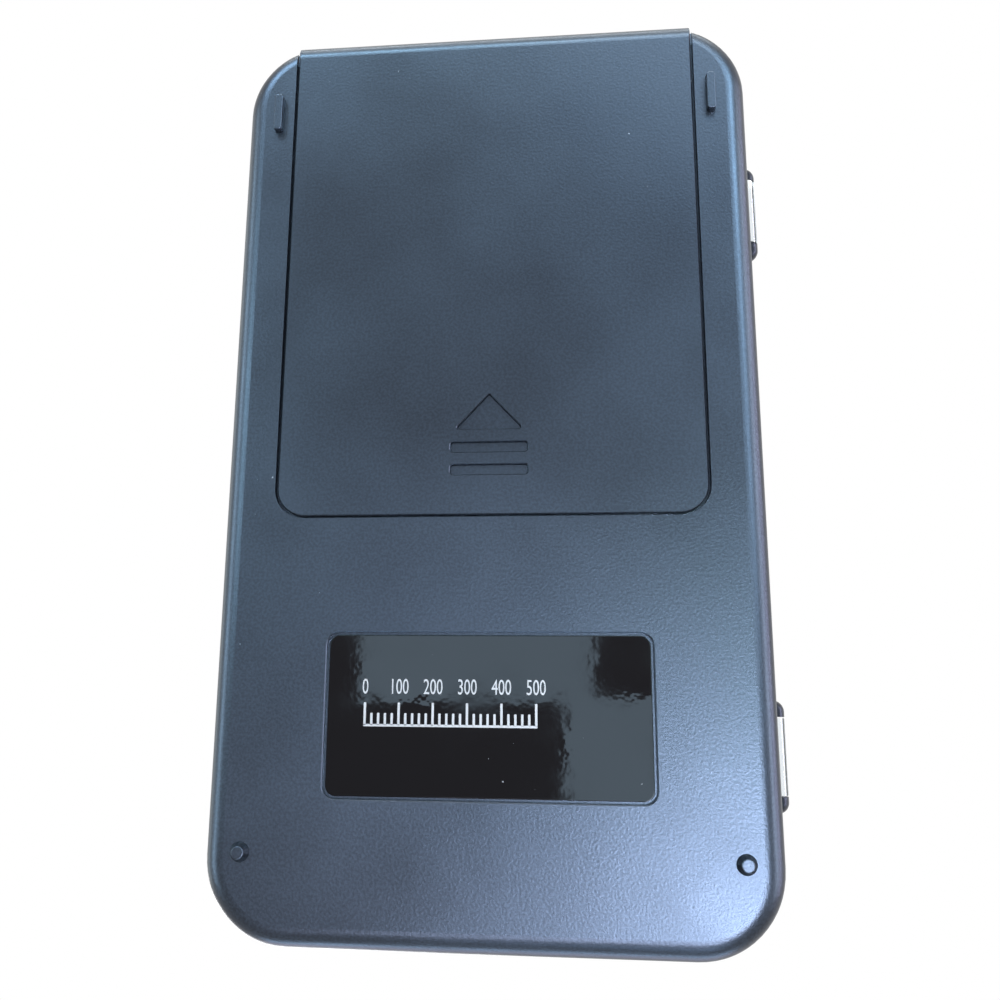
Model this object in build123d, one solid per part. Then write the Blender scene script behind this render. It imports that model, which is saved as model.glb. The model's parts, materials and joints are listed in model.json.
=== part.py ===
from build123d import *

import os
from math import cos, pi, sin

# A pocket gram scale with a clear folding lid, as an assembly of separate pieces.
# Millimetres. X runs across the scale, Y from the keys towards the weighing platform, and Z up.
# The scale stands on its four feet at Z = 0. Every piece is drawn about the middle of the case,
# and the whole model is moved across at the end, so that the origin is the middle of the
# footprint, hinge included.

# ---------------------------------------------------------------- drawing allowances
past_face = 1.0  # how far a cutting shape reaches past the face it opens
past_end = 5.0  # the same, past an end of the case
least_radius = 0.5
least_rounding = 0.3
edge_tolerance = 0.01  # for telling edges apart by their place

# ---------------------------------------------------------------- case
case_length = 116.0
case_width = 66.0
corner_radius = 10.0
case_wall = 1.8
base_thickness = 1.6
base_rounding = 2.6  # outer edge of the underside
parting_height = 7.0  # of the joint between the two casings, above the underside
parting_bevel = 0.25  # shadow line along that joint
lip_height = 1.0
lip_root = 1.0  # how far the lip runs down inside the wall
lip_thickness = 0.8
lip_gap = 0.1

# ---------------------------------------------------------------- feet, moulded on the lower casing
foot_height = 1.0
foot_side_inset = 4.55  # from the case's side to a foot's middle
bar_foot_end_inset = 11.1  # from the far end
bar_foot_width = 1.15
bar_foot_length = 5.25
bar_foot_draft = 2.0  # degrees
peg_foot_end_inset = 10.55  # from the keys' end
peg_foot_base_radius = 1.15
peg_foot_tip_radius = 0.7
foot_tip_rounding = 0.15

# ---------------------------------------------------------------- battery door
door_side_margin = 6.8  # from the case's side to the door's
door_past_bays = 5.5  # how far the door reaches past the bays, towards the keys
door_corner_radius = 3.5
door_far_corner_radius = 0.8
door_thickness = 1.6
door_end_thickness = 1.67
door_seam = 0.28  # gap round the door
door_edge_bevel = 0.18
door_tongue = 0.9  # how far the tongue reaches under the casing's lip
door_tongue_thickness = 0.65
door_tongue_gap = 0.2
door_end_wall = 1.2  # casing wall behind the door's end
grip_depth = 0.5
grip_bevel = 0.1  # of a mark's mouth
grip_draft = 15.0  # degrees, of a mark's walls
grip_bar_width = 9.55
grip_bar_height = 1.33
grip_bar_inset = 5.63  # from the door's inner end to the first bar
grip_bar_pitch = 2.84
grip_bar_count = 2
grip_bar_radius = 0.45
arrow_width = 8.55
arrow_height = 4.6
arrow_inset = 10.7  # from the door's inner end to the arrow's base
arrow_corner_radius = 0.25
detent_height = 0.15
detent_radius = 2.0
detent_length = 8.0

# ---------------------------------------------------------------- label
label_width = 37.65
label_height = 18.45
label_thickness = 0.3
label_edge_rounding = 0.1
label_end_inset = 26.1  # from the keys' end to the label's middle
label_corner_radius = 1.2
label_margin = 0.33  # between the label and the wall of its well
label_well_depth = 0.55
label_well_bevel = 0.12  # of the well's mouth

# ---------------------------------------------------------------- cells and their bays
cell_diameter = 10.5
cell_length = 44.5
cell_nub_radius = 1.9
cell_edge_rounding = 0.5
cell_nub_height = 1.0
cell_clearance = 0.1  # above and below a cell
bay_side_clearance = 0.35
tunnel_gap = 4.4  # from the load cell to a bay's wall
bay_wall = 1.0
deck_thickness = 1.2  # casing floor that the door covers
deck_gap = 0.25  # between the door and that floor
deck_root = 0.5  # how far the floor is sunk into the lower casing
end_wall_to_bay = 5.1  # room for the far screws
spring_space = 5.0
contact_thickness = 0.4
contact_width = 9.0
contact_height = 8.0
contact_bump = 0.6
spring_wire_radius = 0.3
spring_radius_wide = 3.2
spring_turns = 4
tab_width = 1.6
tab_reach = 1.6  # how far a solder tab comes through the bay's wall
tab_slot_gap = 0.1

# ---------------------------------------------------------------- load cell
beam_length = 47.0
beam_width = 12.0
beam_height = 6.0
beam_hole_radius = 2.2
beam_hole_spacing = 9.0
beam_slot_height = 1.2  # of the slot that joins the two holes
beam_bolt_inset = 4.0
beam_bolt_pitch = 7.5
pedestal_height = 1.25
overload_travel = 0.5
gauge_length = 5.0
gauge_width = 6.0
gauge_thickness = 0.15

# ---------------------------------------------------------------- platform
platform_side_margin = 7.8  # from the case's side
platform_end_margin = 5.3  # from the far end
platform_to_window = 5.5
platform_corner_radius = 4.0
platform_sheet = 0.6
platform_bend = 1.1
platform_skirt = 2.2
platform_proud = 0.7  # above the upper casing
platform_side_gap = 0.8
platform_under_gap = 0.6
tape_thickness = 0.2
tape_inset = 3.0
support_gap = 0.1
support_web = 0.8
support_rib = 1.4
support_columns = 3  # of pockets under the plate
support_rows = 4
support_seat = 1.6  # thickness of the boss under the screw heads
well_floor = 1.0
well_wall = 1.2
well_root = 0.5  # how far the well's wall is sunk into the casing's face
well_hole_gap = 1.0

# ---------------------------------------------------------------- upper casing
top_thickness = 1.6
lid_step_height = 2.2  # from the lid's seat up to the face of the casing
face_rounding = 0.4
finger_notch_depth = 1.1
finger_notch_radius = 20.0
finger_notch_height = 4.0

# ---------------------------------------------------------------- lid
lid_thickness = 1.5
lid_skirt = 1.5
lid_side_gap = 0.25
lid_seat_gap = 0.1
lid_headroom = 1.15  # over the platform
lid_rounding = 2.2
lid_inner_rounding = 1.0
snap_length = 10.0
snap_height = 0.18
snap_groove_clearance = 0.1

# ---------------------------------------------------------------- hinge
hinge_offset = 1.2  # of the axis, outside the case
barrel_radius = 1.8
barrel_length = 9.2
ear_length = 2.05
ear_rounding = 1.4
ear_root = 0.1  # how far the ear's foot stands out of the case
hinge_end_gap = 0.15
hinge_clearance = 0.25
hinge_end_inset = 21.6  # from each end of the case to a hinge's middle
pin_radius = 0.7
pin_running_gap = 0.05
pin_press_gap = 0.01
pin_recess = 0.3

# ---------------------------------------------------------------- display
window_side_margin = 10.0  # from the case's side
window_to_keys = 12.4
window_thickness = 1.2
window_corner_radius = 1.5
window_gap = 0.08
window_ledge = 1.8
glass_plate = 1.0  # each of the display's two plates
glass_ledge = 2.4  # the front plate's contact edge
display_margin = 0.6  # display module inside the window's outline
backlight_thickness = 2.2
zebra_width = 1.6
zebra_end_inset = 1.0
frame_wall = 0.8
frame_gap = 0.1

# ---------------------------------------------------------------- circuit board
board_side_gap = 2.7  # from the case's inner wall
board_end_gap = 5.4  # from the keys' end of the case
board_thickness = 1.2
board_to_bays = 4.85
board_past_window = 1.6
board_corner_radius = 4.0
board_screw_side_inset = 1.9
board_screw_start_inset = 4.0
board_screw_to_keys = 8.0
board_post_radius = 1.7
board_hole_gap = 0.4
blob_radius = 5.5
blob_height = 1.4
blob_offset = 6.6  # from the window's middle, towards the keys
chip_length = 2.0
chip_width = 1.2
chip_height = 0.7
chip_count = 10
chip_spread_x = 1.8  # times the resin's radius
chip_spread_y = 1.5
rest_post_radius = 1.5
rest_post_x = 13.0

# ---------------------------------------------------------------- keys
key_names = ("power", "mode", "tare", "count")
key_spacing = 3.2  # between the caps
key_end_inset = 12.0  # from the keys' end to the middle of the row
key_width = 9.4
key_height = 6.0
key_corner_radius = 2.6
key_proud = 0.6
key_gap = 0.2
key_flange = 0.9  # how far the flange reaches past the cap
key_flange_thickness = 0.8
key_flange_gap = 0.1
key_travel = 0.4
key_rounding = 0.5
switch_side = 6.0
switch_height = 2.0
plunger_radius = 1.7
plunger_proud = 0.65
plunger_depth = 0.5  # of the plunger inside its switch
plunger_gap = 0.15
plunger_room = 0.1  # under a pressed plunger
stem_radius = 1.5

# ---------------------------------------------------------------- screws
case_screw_radius = 0.95
case_screw_length = 8.0
case_screw_head_radius = 1.8
case_screw_head_height = 1.2
case_screw_head_gap = 0.3
case_screw_floor = 1.4  # casing under a head
case_screw_tip_room = 0.4
door_screw_offset = 2.0  # outwards, from a bay's middle
case_boss_radius = 2.7
case_post_radius = 2.2
label_screw_side_inset = 4.6  # from the label's side
label_screw_offset = 5.0  # from the label's middle, towards the keys
board_screw_radius = 0.8
board_screw_length = 4.2
board_screw_head_radius = 1.6
board_screw_head_height = 1.0
board_screw_tip_room = 0.3
post_root = 0.3  # how far a screw post is sunk into the casing's face
beam_screw_radius = 1.25
beam_screw_head_radius = 2.5
beam_screw_head_height = 1.2
beam_screw_grip = 5.0  # thread in the beam
slot_width = 0.5
slot_depth = 0.5
thread_gap = 0.02

# ---------------------------------------------------------------- wires
wire_radius = 0.45
sensor_wire_radius = 0.32
sensor_wire_count = 4
sensor_wire_pitch = 0.9
sensor_wire_drop = 2.2  # of the loop under the board
sensor_wire_landing = 6.0  # how far in from the board's edge
sensor_wire_bends = (2.0, 2.0, 1.0)
wire_overhang = 1.2  # past the beam's end and short of the board
lead_drop = 2.6
lead_landing = 4.5
lead_bends = (1.6, 1.6, 1.2)
jumper_rise = 2.5
jumper_bends = (1.5, 1.5)

# ================================================================ heights
base_z = foot_height
parting_z = base_z + parting_height
floor_z = base_z + base_thickness
door_inner_z = base_z + door_thickness
deck_z = door_inner_z + deck_gap
deck_top_z = deck_z + deck_thickness
cell_z = deck_z + cell_clearance + cell_diameter / 2
well_under_z = cell_z + cell_diameter / 2 + cell_clearance
well_top_z = well_under_z + well_floor
bay_top_z = well_under_z - cell_clearance
platform_skirt_z = well_top_z + platform_under_gap
platform_top_z = platform_skirt_z + platform_skirt
face_z = platform_top_z - platform_proud
ceiling_z = face_z - top_thickness
lid_seat_z = face_z - lid_step_height
lid_skirt_z = lid_seat_z + lid_seat_gap
lid_inner_z = platform_top_z + lid_headroom
lid_top_z = lid_inner_z + lid_thickness
beam_z = deck_top_z + pedestal_height
beam_top_z = beam_z + beam_height
label_floor_z = base_z + label_well_depth
display_top_z = ceiling_z
backlight_top_z = display_top_z - 2 * glass_plate
board_top_z = backlight_top_z - backlight_thickness
board_z = board_top_z - board_thickness
switch_top_z = board_top_z + switch_height
plunger_top_z = switch_top_z + plunger_proud
key_flange_top_z = ceiling_z - key_flange_gap
key_top_z = face_z + key_proud

# ================================================================ plan positions
half_width = case_width / 2
half_length = case_length / 2
lid_inset = lid_skirt + lid_side_gap  # the casing under the lid stands in by this much
hinge_x = -(half_width + hinge_offset)
hinge_y = half_length - hinge_end_inset
hinge_z = lid_seat_z
hinge_reach = hinge_offset + barrel_radius
row_shift = hinge_reach / 2  # brings the middle of the footprint to the origin
foot_x = half_width - foot_side_inset
bar_foot_y = half_length - bar_foot_end_inset
peg_foot_y = -(half_length - peg_foot_end_inset)

# the far end: door, bays and load cell
door_width = case_width - 2 * door_side_margin
door_half = door_width / 2
opening_half = door_half + door_seam
rail_half = opening_half + door_tongue
rail_z = door_inner_z - door_tongue_thickness - door_tongue_gap
door_end_y = half_length - door_end_thickness
inner_end_y = door_end_y - door_seam - door_end_wall
bay_width = cell_diameter + 2 * bay_side_clearance
bay_length = cell_length + cell_nub_height + spring_space + contact_thickness + contact_bump
bay_end_y = inner_end_y - end_wall_to_bay - bay_wall
bay_start_y = bay_end_y - bay_length
tunnel_half = beam_width / 2 + tunnel_gap
bay_x = tunnel_half + bay_wall + bay_width / 2
door_inner_y = bay_start_y - door_past_bays
opening_inner_y = door_inner_y - door_seam
rail_inner_y = opening_inner_y - door_tongue
door_screw_y = (bay_end_y + bay_wall + inner_end_y) / 2

# the keys' end
key_y = -(half_length - key_end_inset)
key_pitch = key_width + key_spacing
key_xs = [(i - (len(key_names) - 1) / 2) * key_pitch for i in range(len(key_names))]
label_y = -(half_length - label_end_inset)
label_screw_x = label_width / 2 - label_screw_side_inset
label_screw_y = label_y - label_screw_offset

# what lies between: board, display and platform
board_width = case_width - 2 * (case_wall + board_side_gap)
board_start_y = bay_start_y - bay_wall - board_to_bays
board_end_y = -(half_length - board_end_gap)
window_start_y = board_start_y - board_past_window
window_end_y = key_y + key_height / 2 + window_to_keys
window_y = (window_start_y + window_end_y) / 2
window_width = case_width - 2 * window_side_margin
window_height = window_start_y - window_end_y
display_width = window_width - 2 * display_margin
display_height = window_height - 2 * display_margin
blob_y = window_y - blob_offset
platform_start_y = window_start_y + platform_to_window
platform_end_y = half_length - platform_end_margin
platform_y = (platform_start_y + platform_end_y) / 2
platform_width = case_width - 2 * platform_side_margin
platform_length = platform_end_y - platform_start_y
beam_start_y = platform_y - beam_length / 2
beam_end_y = platform_y + beam_length / 2
base_bolt_ys = [beam_start_y + beam_bolt_inset + i * beam_bolt_pitch for i in range(2)]
top_bolt_ys = [beam_end_y - beam_bolt_inset - i * beam_bolt_pitch for i in range(2)]
support_boss_length = 2 * beam_bolt_inset + beam_bolt_pitch

# screws
case_screws = [(side * label_screw_x, label_screw_y) for side in (-1, 1)]
case_screws += [(side * (bay_x + door_screw_offset), door_screw_y) for side in (-1, 1)]
board_screw_x = board_width / 2 - board_screw_side_inset
board_screw_ys = (board_start_y - board_screw_start_inset, key_y + board_screw_to_keys)
board_screws = [(side * board_screw_x, y) for y in board_screw_ys for side in (-1, 1)]


# ================================================================ helpers
def block(x0, x1, y0, y1, z0, z1):
    """A box between two corners."""
    middle = Pos((x0 + x1) / 2, (y0 + y1) / 2, (z0 + z1) / 2)
    return middle * Box(abs(x1 - x0), abs(y1 - y0), abs(z1 - z0))


def slab(width, length, radius, z0, z1, y=0.0, x=0.0):
    """A plate with rounded corners between two heights."""
    return Pos(x, y, z0) * extrude(RectangleRounded(width, length, radius), z1 - z0)


def rod(radius, x, y, z0, z1):
    """An upright cylinder between two heights."""
    return Pos(x, y, (z0 + z1) / 2) * Cylinder(radius, z1 - z0)


def rod_along_y(radius, x, z, y0, y1):
    """A cylinder that lies along Y."""
    return Pos(x, (y0 + y1) / 2, z) * Rot(90, 0, 0) * Cylinder(radius, abs(y1 - y0))


def rod_along_x(radius, y, z, x0, x1):
    """A cylinder that lies along X."""
    return Pos((x0 + x1) / 2, y, z) * Rot(0, 90, 0) * Cylinder(radius, abs(x1 - x0))


def rounded(shape, edges, radius):
    """The shape with those edges rounded."""
    return fillet(edges, radius) if radius > 0 else shape


def top_edges(shape):
    """The edges round the highest flat face."""
    return shape.faces().sort_by(Axis.Z)[-1].edges()


def bottom_edges(shape):
    """The edges round the lowest flat face."""
    return shape.faces().sort_by(Axis.Z)[0].edges()


def case_plan(inset, z0, z1):
    """A slab with the case's own outline, drawn in by an inset."""
    radius = max(corner_radius - inset, least_radius)
    return slab(case_width - 2 * inset, case_length - 2 * inset, radius, z0, z1)


def wire(points, bends, radius):
    """A wire through those points, with an arc at each turn."""
    path = FilletPolyline(*points, radius=list(bends))
    start = Plane(origin=path @ 0, z_dir=path % 0)
    return sweep(start * Circle(radius), path=path)


def screw(radius, length, head_radius, head_height):
    """A slotted pan-head screw that points up, with the underside of its head at Z = 0."""
    head = Pos(0, 0, -head_height / 2) * Cylinder(head_radius, head_height)
    head = rounded(head, bottom_edges(head), head_height / 3)
    slot = Pos(0, 0, -head_height + slot_depth / 2) * Box(2 * head_radius, slot_width, slot_depth)
    shank = Pos(0, 0, length / 2) * Cylinder(radius, length)
    shank = chamfer(top_edges(shank), radius / 3)
    return head - slot + shank


# ================================================================ lower casing
def feet():
    """Two raised bars and two pegs, one near each corner."""
    found = []
    for side in (-1, 1):
        bar = extrude(
            RectangleRounded(bar_foot_width, bar_foot_length, bar_foot_width / 3),
            foot_height,
            taper=bar_foot_draft,
        )
        bar = rounded(bar, top_edges(bar), foot_tip_rounding)
        found.append(Pos(side * foot_x, bar_foot_y, base_z) * Rot(180, 0, 0) * bar)
        peg = Cone(peg_foot_tip_radius, peg_foot_base_radius, foot_height)
        peg = rounded(peg, bottom_edges(peg), foot_tip_rounding)
        found.append(Pos(side * foot_x, peg_foot_y, foot_height / 2) * peg)
    return found


def door_plan(grow, z0, z1, end_y):
    """The door's plan shape grown by an amount, with round corners at its inner end only."""
    half = door_half + grow
    inner_y = door_inner_y - grow
    radius = door_corner_radius + grow
    plate = block(-half, half, inner_y, end_y, z0, z1)
    corners = plate.edges().filter_by(Axis.Z).group_by(Axis.Y)[0]
    return rounded(plate, corners, radius)


def hollow(outline, depth, bevel, draft=0.0):
    """The cutting shape of a hollow in the underside: a bevelled mouth, then walls with a draft."""
    sunk = Pos(0, 0, base_z + bevel) * outline
    mouth = extrude(sunk, 2 * bevel, dir=(0, 0, -1), taper=-45)
    return mouth + extrude(sunk, depth - bevel, taper=draft)


def bay_walls(side):
    """The walls round one cell."""
    x = side * bay_x
    half = bay_width / 2 + bay_wall
    return block(x - half, x + half, bay_start_y - bay_wall, bay_end_y + bay_wall, deck_z, bay_top_z)


def bay_hollow(side):
    """The space for one cell and its contacts, open to the door."""
    x = side * bay_x
    half = bay_width / 2
    return block(x - half, x + half, bay_start_y, bay_end_y, base_z - past_face, bay_top_z + past_face)


def tab_slots(side):
    """Slots for the two solder tabs, in the wall between a bay and the load cell."""
    inner = side * (tunnel_half - past_face)
    outer = side * (tunnel_half + bay_wall + past_face)
    grow = tab_slot_gap
    low = cell_z - tab_width / 2 - grow
    high = bay_top_z + past_face
    depth = contact_thickness + grow
    return [
        block(inner, outer, bay_start_y, bay_start_y + depth, low, high),
        block(inner, outer, bay_end_y - depth, bay_end_y, low, high),
    ]


def screw_seat_z(y):
    """The height at which a case screw's head bears on the lower casing."""
    start = deck_z if y > 0 else label_floor_z
    return start + case_screw_head_height + case_screw_head_gap


def screw_boss_top_z(y):
    """The height where a boss of the lower casing meets the upper casing's post."""
    return screw_seat_z(y) + case_screw_floor


def bottom_shell():
    """The lower casing, with the door's opening, the bays, the feet and the label's well."""
    outer = case_plan(0, base_z, parting_z)
    outer = rounded(outer, bottom_edges(outer), base_rounding)
    outer = chamfer(top_edges(outer), parting_bevel)
    inner = case_plan(case_wall, floor_z, parting_z + past_face)
    inner = rounded(inner, bottom_edges(inner), max(base_rounding - case_wall, least_rounding))
    shell = outer - inner

    lip_inset = case_wall - lip_thickness
    lip = case_plan(lip_inset, parting_z - lip_root, parting_z + lip_height)
    lip -= case_plan(case_wall, parting_z - lip_root - past_face, parting_z + lip_height + past_face)
    shell += lip

    rim = rail_half + door_end_wall
    end_cut_y = inner_end_y + door_end_wall
    deck = block(-rim, rim, rail_inner_y - door_end_wall, end_cut_y, floor_z - deck_root, deck_top_z)
    end_wall = block(-rim, rim, inner_end_y, end_cut_y, floor_z, parting_z)
    inside = case_plan(case_wall / 2, base_z, parting_z)
    shell += (deck + end_wall) & inside
    shell += bay_walls(-1) + bay_walls(1)

    beyond = half_length + past_end
    shell -= door_plan(door_seam, base_z - past_face, rail_z, beyond)
    rail = door_plan(door_seam + door_tongue, rail_z, deck_z, beyond)
    shell -= rail & block(-rail_half, rail_half, rail_inner_y, beyond, rail_z, deck_z)
    end_cut_top = parting_z + lip_height + past_face
    shell -= block(-opening_half, opening_half, end_cut_y, beyond, base_z - past_face, end_cut_top)

    pedestal_end = base_bolt_ys[-1] + beam_bolt_inset
    shell += block(-beam_width / 2, beam_width / 2, beam_start_y, pedestal_end, deck_z, beam_z)
    stop_y = sum(top_bolt_ys) / 2
    shell += rod(beam_width / 4, 0, stop_y, deck_z, beam_z - overload_travel)
    for x, y in case_screws:
        shell += rod(case_boss_radius, x, y, label_floor_z if y < 0 else deck_z, screw_boss_top_z(y))
    for side in (-1, 1):
        shell += rod(rest_post_radius, side * rest_post_x, key_y, base_z + base_thickness / 2, board_z)
        shell -= bay_hollow(side)
        for slot in tab_slots(side):
            shell -= slot

    well = 2 * label_margin
    well_radius = label_corner_radius + label_margin
    under_z = base_z - past_face
    well_outline = RectangleRounded(label_width + well, label_height + well, well_radius)
    shell -= hollow(Pos(0, label_y) * well_outline, label_well_depth, label_well_bevel)
    for x, y in case_screws:
        hole_top_z = screw_boss_top_z(y) + past_face
        shell -= rod(case_screw_head_radius + case_screw_head_gap, x, y, under_z, screw_seat_z(y))
        shell -= rod(case_screw_radius + case_screw_head_gap, x, y, base_z, hole_top_z)
    head_z = deck_z + beam_screw_head_height + deck_gap / 2
    for y in base_bolt_ys:
        shell -= rod(beam_screw_head_radius + thread_gap, 0, y, deck_z - past_face, head_z)
        shell -= rod(beam_screw_radius + deck_gap, 0, y, deck_z, beam_z + past_face)
    shell -= detent(deck_gap, deck_z)
    for foot in feet():
        shell += foot
    return shell


# ================================================================ battery door
def detent(grow, z):
    """The low ridge that marks the closed position, lying across the door."""
    y = door_inner_y + door_corner_radius
    top = z + detent_height + grow
    half = detent_length / 2 + grow
    ridge = rod_along_x(detent_radius, y, top - detent_radius, -half, half)
    return ridge & block(-half, half, y - detent_radius, y + detent_radius, z, top)


def grip_marks():
    """The arrow and the two bars pressed into the door where a thumb pushes it."""
    half = arrow_width / 2
    base = door_inner_y + arrow_inset
    arrow = make_face(Polyline((-half, base), (half, base), (0, base + arrow_height), close=True))
    outlines = [fillet(arrow.vertices(), arrow_corner_radius)]
    for i in range(grip_bar_count):
        y = door_inner_y + grip_bar_inset + i * grip_bar_pitch
        outlines.append(Pos(0, y) * RectangleRounded(grip_bar_width, grip_bar_height, grip_bar_radius))
    return [hollow(outline, grip_depth, grip_bevel, grip_draft) for outline in outlines]


def battery_door():
    """The sliding door, which wraps round the case's end, straight across its round corners."""
    top = parting_z - door_seam
    rolled = block(-case_width, case_width, -half_length, half_length, base_z, top)
    end_edge = rolled.edges().filter_by(Axis.X).group_by(Axis.Z)[0].sort_by(Axis.Y)[-1:]
    solid = door_slab(top) & fillet(end_edge, base_rounding)
    inner_room_y = door_inner_y - past_end
    solid -= block(-case_width, case_width, inner_room_y, door_end_y, door_inner_z, top + past_face)
    tongue = door_plan(door_tongue, door_inner_z - door_tongue_thickness, door_inner_z, inner_end_y)
    solid += tongue
    solid += detent(0, door_inner_z)
    for mark in grip_marks():
        solid -= mark
    return solid


def door_slab(top):
    """The door's outline with all its corners, bevelled round its face."""
    length = half_length - door_inner_y
    outline = Pos(0, door_inner_y + length / 2) * Rectangle(door_width, length)
    outline = fillet(outline.vertices().group_by(Axis.Y)[0], door_corner_radius)
    far = outline.vertices().filter_by(lambda v: v.Y > half_length - edge_tolerance)
    outline = Pos(0, 0, base_z + door_edge_bevel) * fillet(far, door_far_corner_radius)
    face = extrude(outline, door_edge_bevel, dir=(0, 0, -1), taper=45)
    return face + extrude(outline, top - base_z - door_edge_bevel)


# ================================================================ label
def rating_label():
    """The glossy film in its well."""
    low = label_floor_z - label_thickness
    film = slab(label_width, label_height, label_corner_radius, low, label_floor_z, label_y)
    return rounded(film, bottom_edges(film), label_edge_rounding)


# ================================================================ upper casing
def ear(y0, y1, outer_end):
    """One hinge ear: a round-ended barrel on a web that joins it to the casing."""
    barrel = rod_along_y(barrel_radius, hinge_x, hinge_z, y0, y1)
    ends = barrel.edges().filter_by(GeomType.CIRCLE).sort_by(Axis.Y)
    end = ends[-1] if outer_end > 0 else ends[0]
    barrel = fillet(end, ear_rounding)
    inner = (y0 + y1) / 2
    web_y0, web_y1 = (y0, inner) if outer_end > 0 else (inner, y1)
    web_x1 = -half_width + case_wall
    web = block(hinge_x, web_x1, web_y0, web_y1, hinge_z - barrel_radius, hinge_z)
    stub = block(-half_width - ear_root, web_x1, y0, y1, hinge_z - barrel_radius, hinge_z)
    return barrel + web + (stub & barrel_room(y0, y1, barrel_radius))


def barrel_room(y0, y1, radius):
    """A cylinder about the hinge's axis."""
    return rod_along_y(radius, hinge_x, hinge_z, y0, y1)


def ear_spans(centre_y):
    """(start, end, which way its free end points) of the two ears of a hinge."""
    inner = barrel_length / 2 + hinge_end_gap
    outer = inner + ear_length
    return [(centre_y - outer, centre_y - inner, -1), (centre_y + inner, centre_y + outer, 1)]


def window_opening():
    """The window's recess and the hole in its floor."""
    low, high = face_z - window_thickness, face_z + past_face
    recess = slab(window_width, window_height, window_corner_radius, low, high, window_y)
    hole = slab(
        window_width - 2 * window_ledge,
        window_height - 2 * window_ledge,
        window_corner_radius / 2,
        ceiling_z - past_face,
        face_z,
        window_y,
    )
    return recess + hole


def snap_rib(height, grow, root_x):
    """The snap along the edge of the lid, away from the hinge, or with clearance the groove for it."""
    z = (lid_seat_z + face_z) / 2
    x = half_width - lid_inset
    half = snap_length / 2 + grow
    rib = rod_along_y(2 * snap_height + grow, x + lid_side_gap + snap_height - height, z, -half, half)
    return rib & block(x - past_face, root_x, -half, half, z - past_face, z + past_face)


def top_shell():
    """The upper casing, with the platform's well, the window's recess, the key holes and the hinge ears."""
    lower = case_plan(0, parting_z, lid_seat_z)
    lower = chamfer(bottom_edges(lower), parting_bevel)
    upper = case_plan(lid_inset, lid_seat_z - past_face, face_z)
    upper = rounded(upper, top_edges(upper), face_rounding)
    shell = lower + upper
    under_z = parting_z - past_face
    shell -= case_plan(case_wall, under_z, lid_seat_z - top_thickness)
    shell -= case_plan(lid_inset + top_thickness, under_z, ceiling_z)
    rebate_inset = case_wall - lip_thickness - lip_gap
    shell -= case_plan(rebate_inset, under_z, parting_z + lip_height + lip_gap)

    well_width = platform_width + 2 * platform_side_gap
    well_length = platform_length + 2 * platform_side_gap
    well_radius = platform_corner_radius + platform_side_gap
    cup = slab(
        well_width + 2 * well_wall,
        well_length + 2 * well_wall,
        well_radius + well_wall,
        well_under_z,
        ceiling_z + well_root,
        platform_y,
    )
    shell += cup & case_plan(lid_inset + face_rounding, well_under_z - past_face, face_z)
    shell -= slab(well_width, well_length, well_radius, well_top_z, face_z + past_face, platform_y)
    hole_y0 = beam_end_y - support_boss_length - well_hole_gap
    hole_y1 = beam_end_y + well_hole_gap
    hole_half = beam_width / 2 + well_hole_gap
    hole_z0, hole_z1 = well_under_z - past_face, well_top_z + past_face
    shell -= block(-hole_half, hole_half, hole_y0, hole_y1, hole_z0, hole_z1)

    for x, y in case_screws:
        root_z = well_under_z if y > 0 else ceiling_z
        shell += rod(case_post_radius, x, y, screw_boss_top_z(y), root_z + post_root)
        tip = screw_seat_z(y) + case_screw_length + case_screw_tip_room
        shell -= rod(case_screw_radius + thread_gap, x, y, screw_boss_top_z(y) - past_face, tip)
    for x, y in board_screws:
        shell += rod(board_post_radius, x, y, board_top_z, ceiling_z + post_root)
        tip = board_z + board_screw_length + board_screw_tip_room
        shell -= rod(board_screw_radius + thread_gap, x, y, board_top_z - past_face, tip)

    shell -= window_opening()
    for x in key_xs:
        shell -= slab(
            key_width + 2 * key_gap,
            key_height + 2 * key_gap,
            key_corner_radius + key_gap,
            ceiling_z - past_face,
            face_z + past_face,
            key_y,
            x,
        )

    for centre in (-hinge_y, hinge_y):
        room = barrel_length / 2 + hinge_end_gap
        shell -= barrel_room(centre - room, centre + room, barrel_radius + hinge_clearance)
        for y0, y1, way in ear_spans(centre):
            shell += ear(y0, y1, way)
            shell -= barrel_room(y0 - past_face, y1 + past_face, pin_radius + pin_press_gap)
    notch_x = half_width + finger_notch_radius - finger_notch_depth
    shell -= rod(finger_notch_radius, notch_x, 0, lid_seat_z - finger_notch_height, lid_seat_z)
    shell -= snap_rib(lid_side_gap + snap_height, snap_groove_clearance, half_width)
    return shell


# ================================================================ lid and hinge
def lid():
    """The clear folding lid, with its two hinge barrels."""
    outer = case_plan(0, lid_skirt_z, lid_top_z)
    outer = rounded(outer, top_edges(outer), lid_rounding)
    inner = case_plan(lid_skirt, lid_skirt_z - past_face, lid_inner_z)
    inner = rounded(inner, top_edges(inner), lid_inner_rounding)
    shell = outer - inner
    for centre in (-hinge_y, hinge_y):
        y0, y1 = centre - barrel_length / 2, centre + barrel_length / 2
        web = block(hinge_x, -half_width + lid_skirt / 2, y0, y1, lid_skirt_z, hinge_z + barrel_radius)
        shell += rod_along_y(barrel_radius, hinge_x, hinge_z, y0, y1) + web
        for start, end, _ in ear_spans(centre):
            room = (start - hinge_end_gap, end + hinge_end_gap)
            shell -= barrel_room(*room, barrel_radius + hinge_clearance)
        shell -= barrel_room(y0 - past_face, y1 + past_face, pin_radius + pin_running_gap)
    return shell + snap_rib(0, 0, half_width - lid_skirt / 2)


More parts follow.
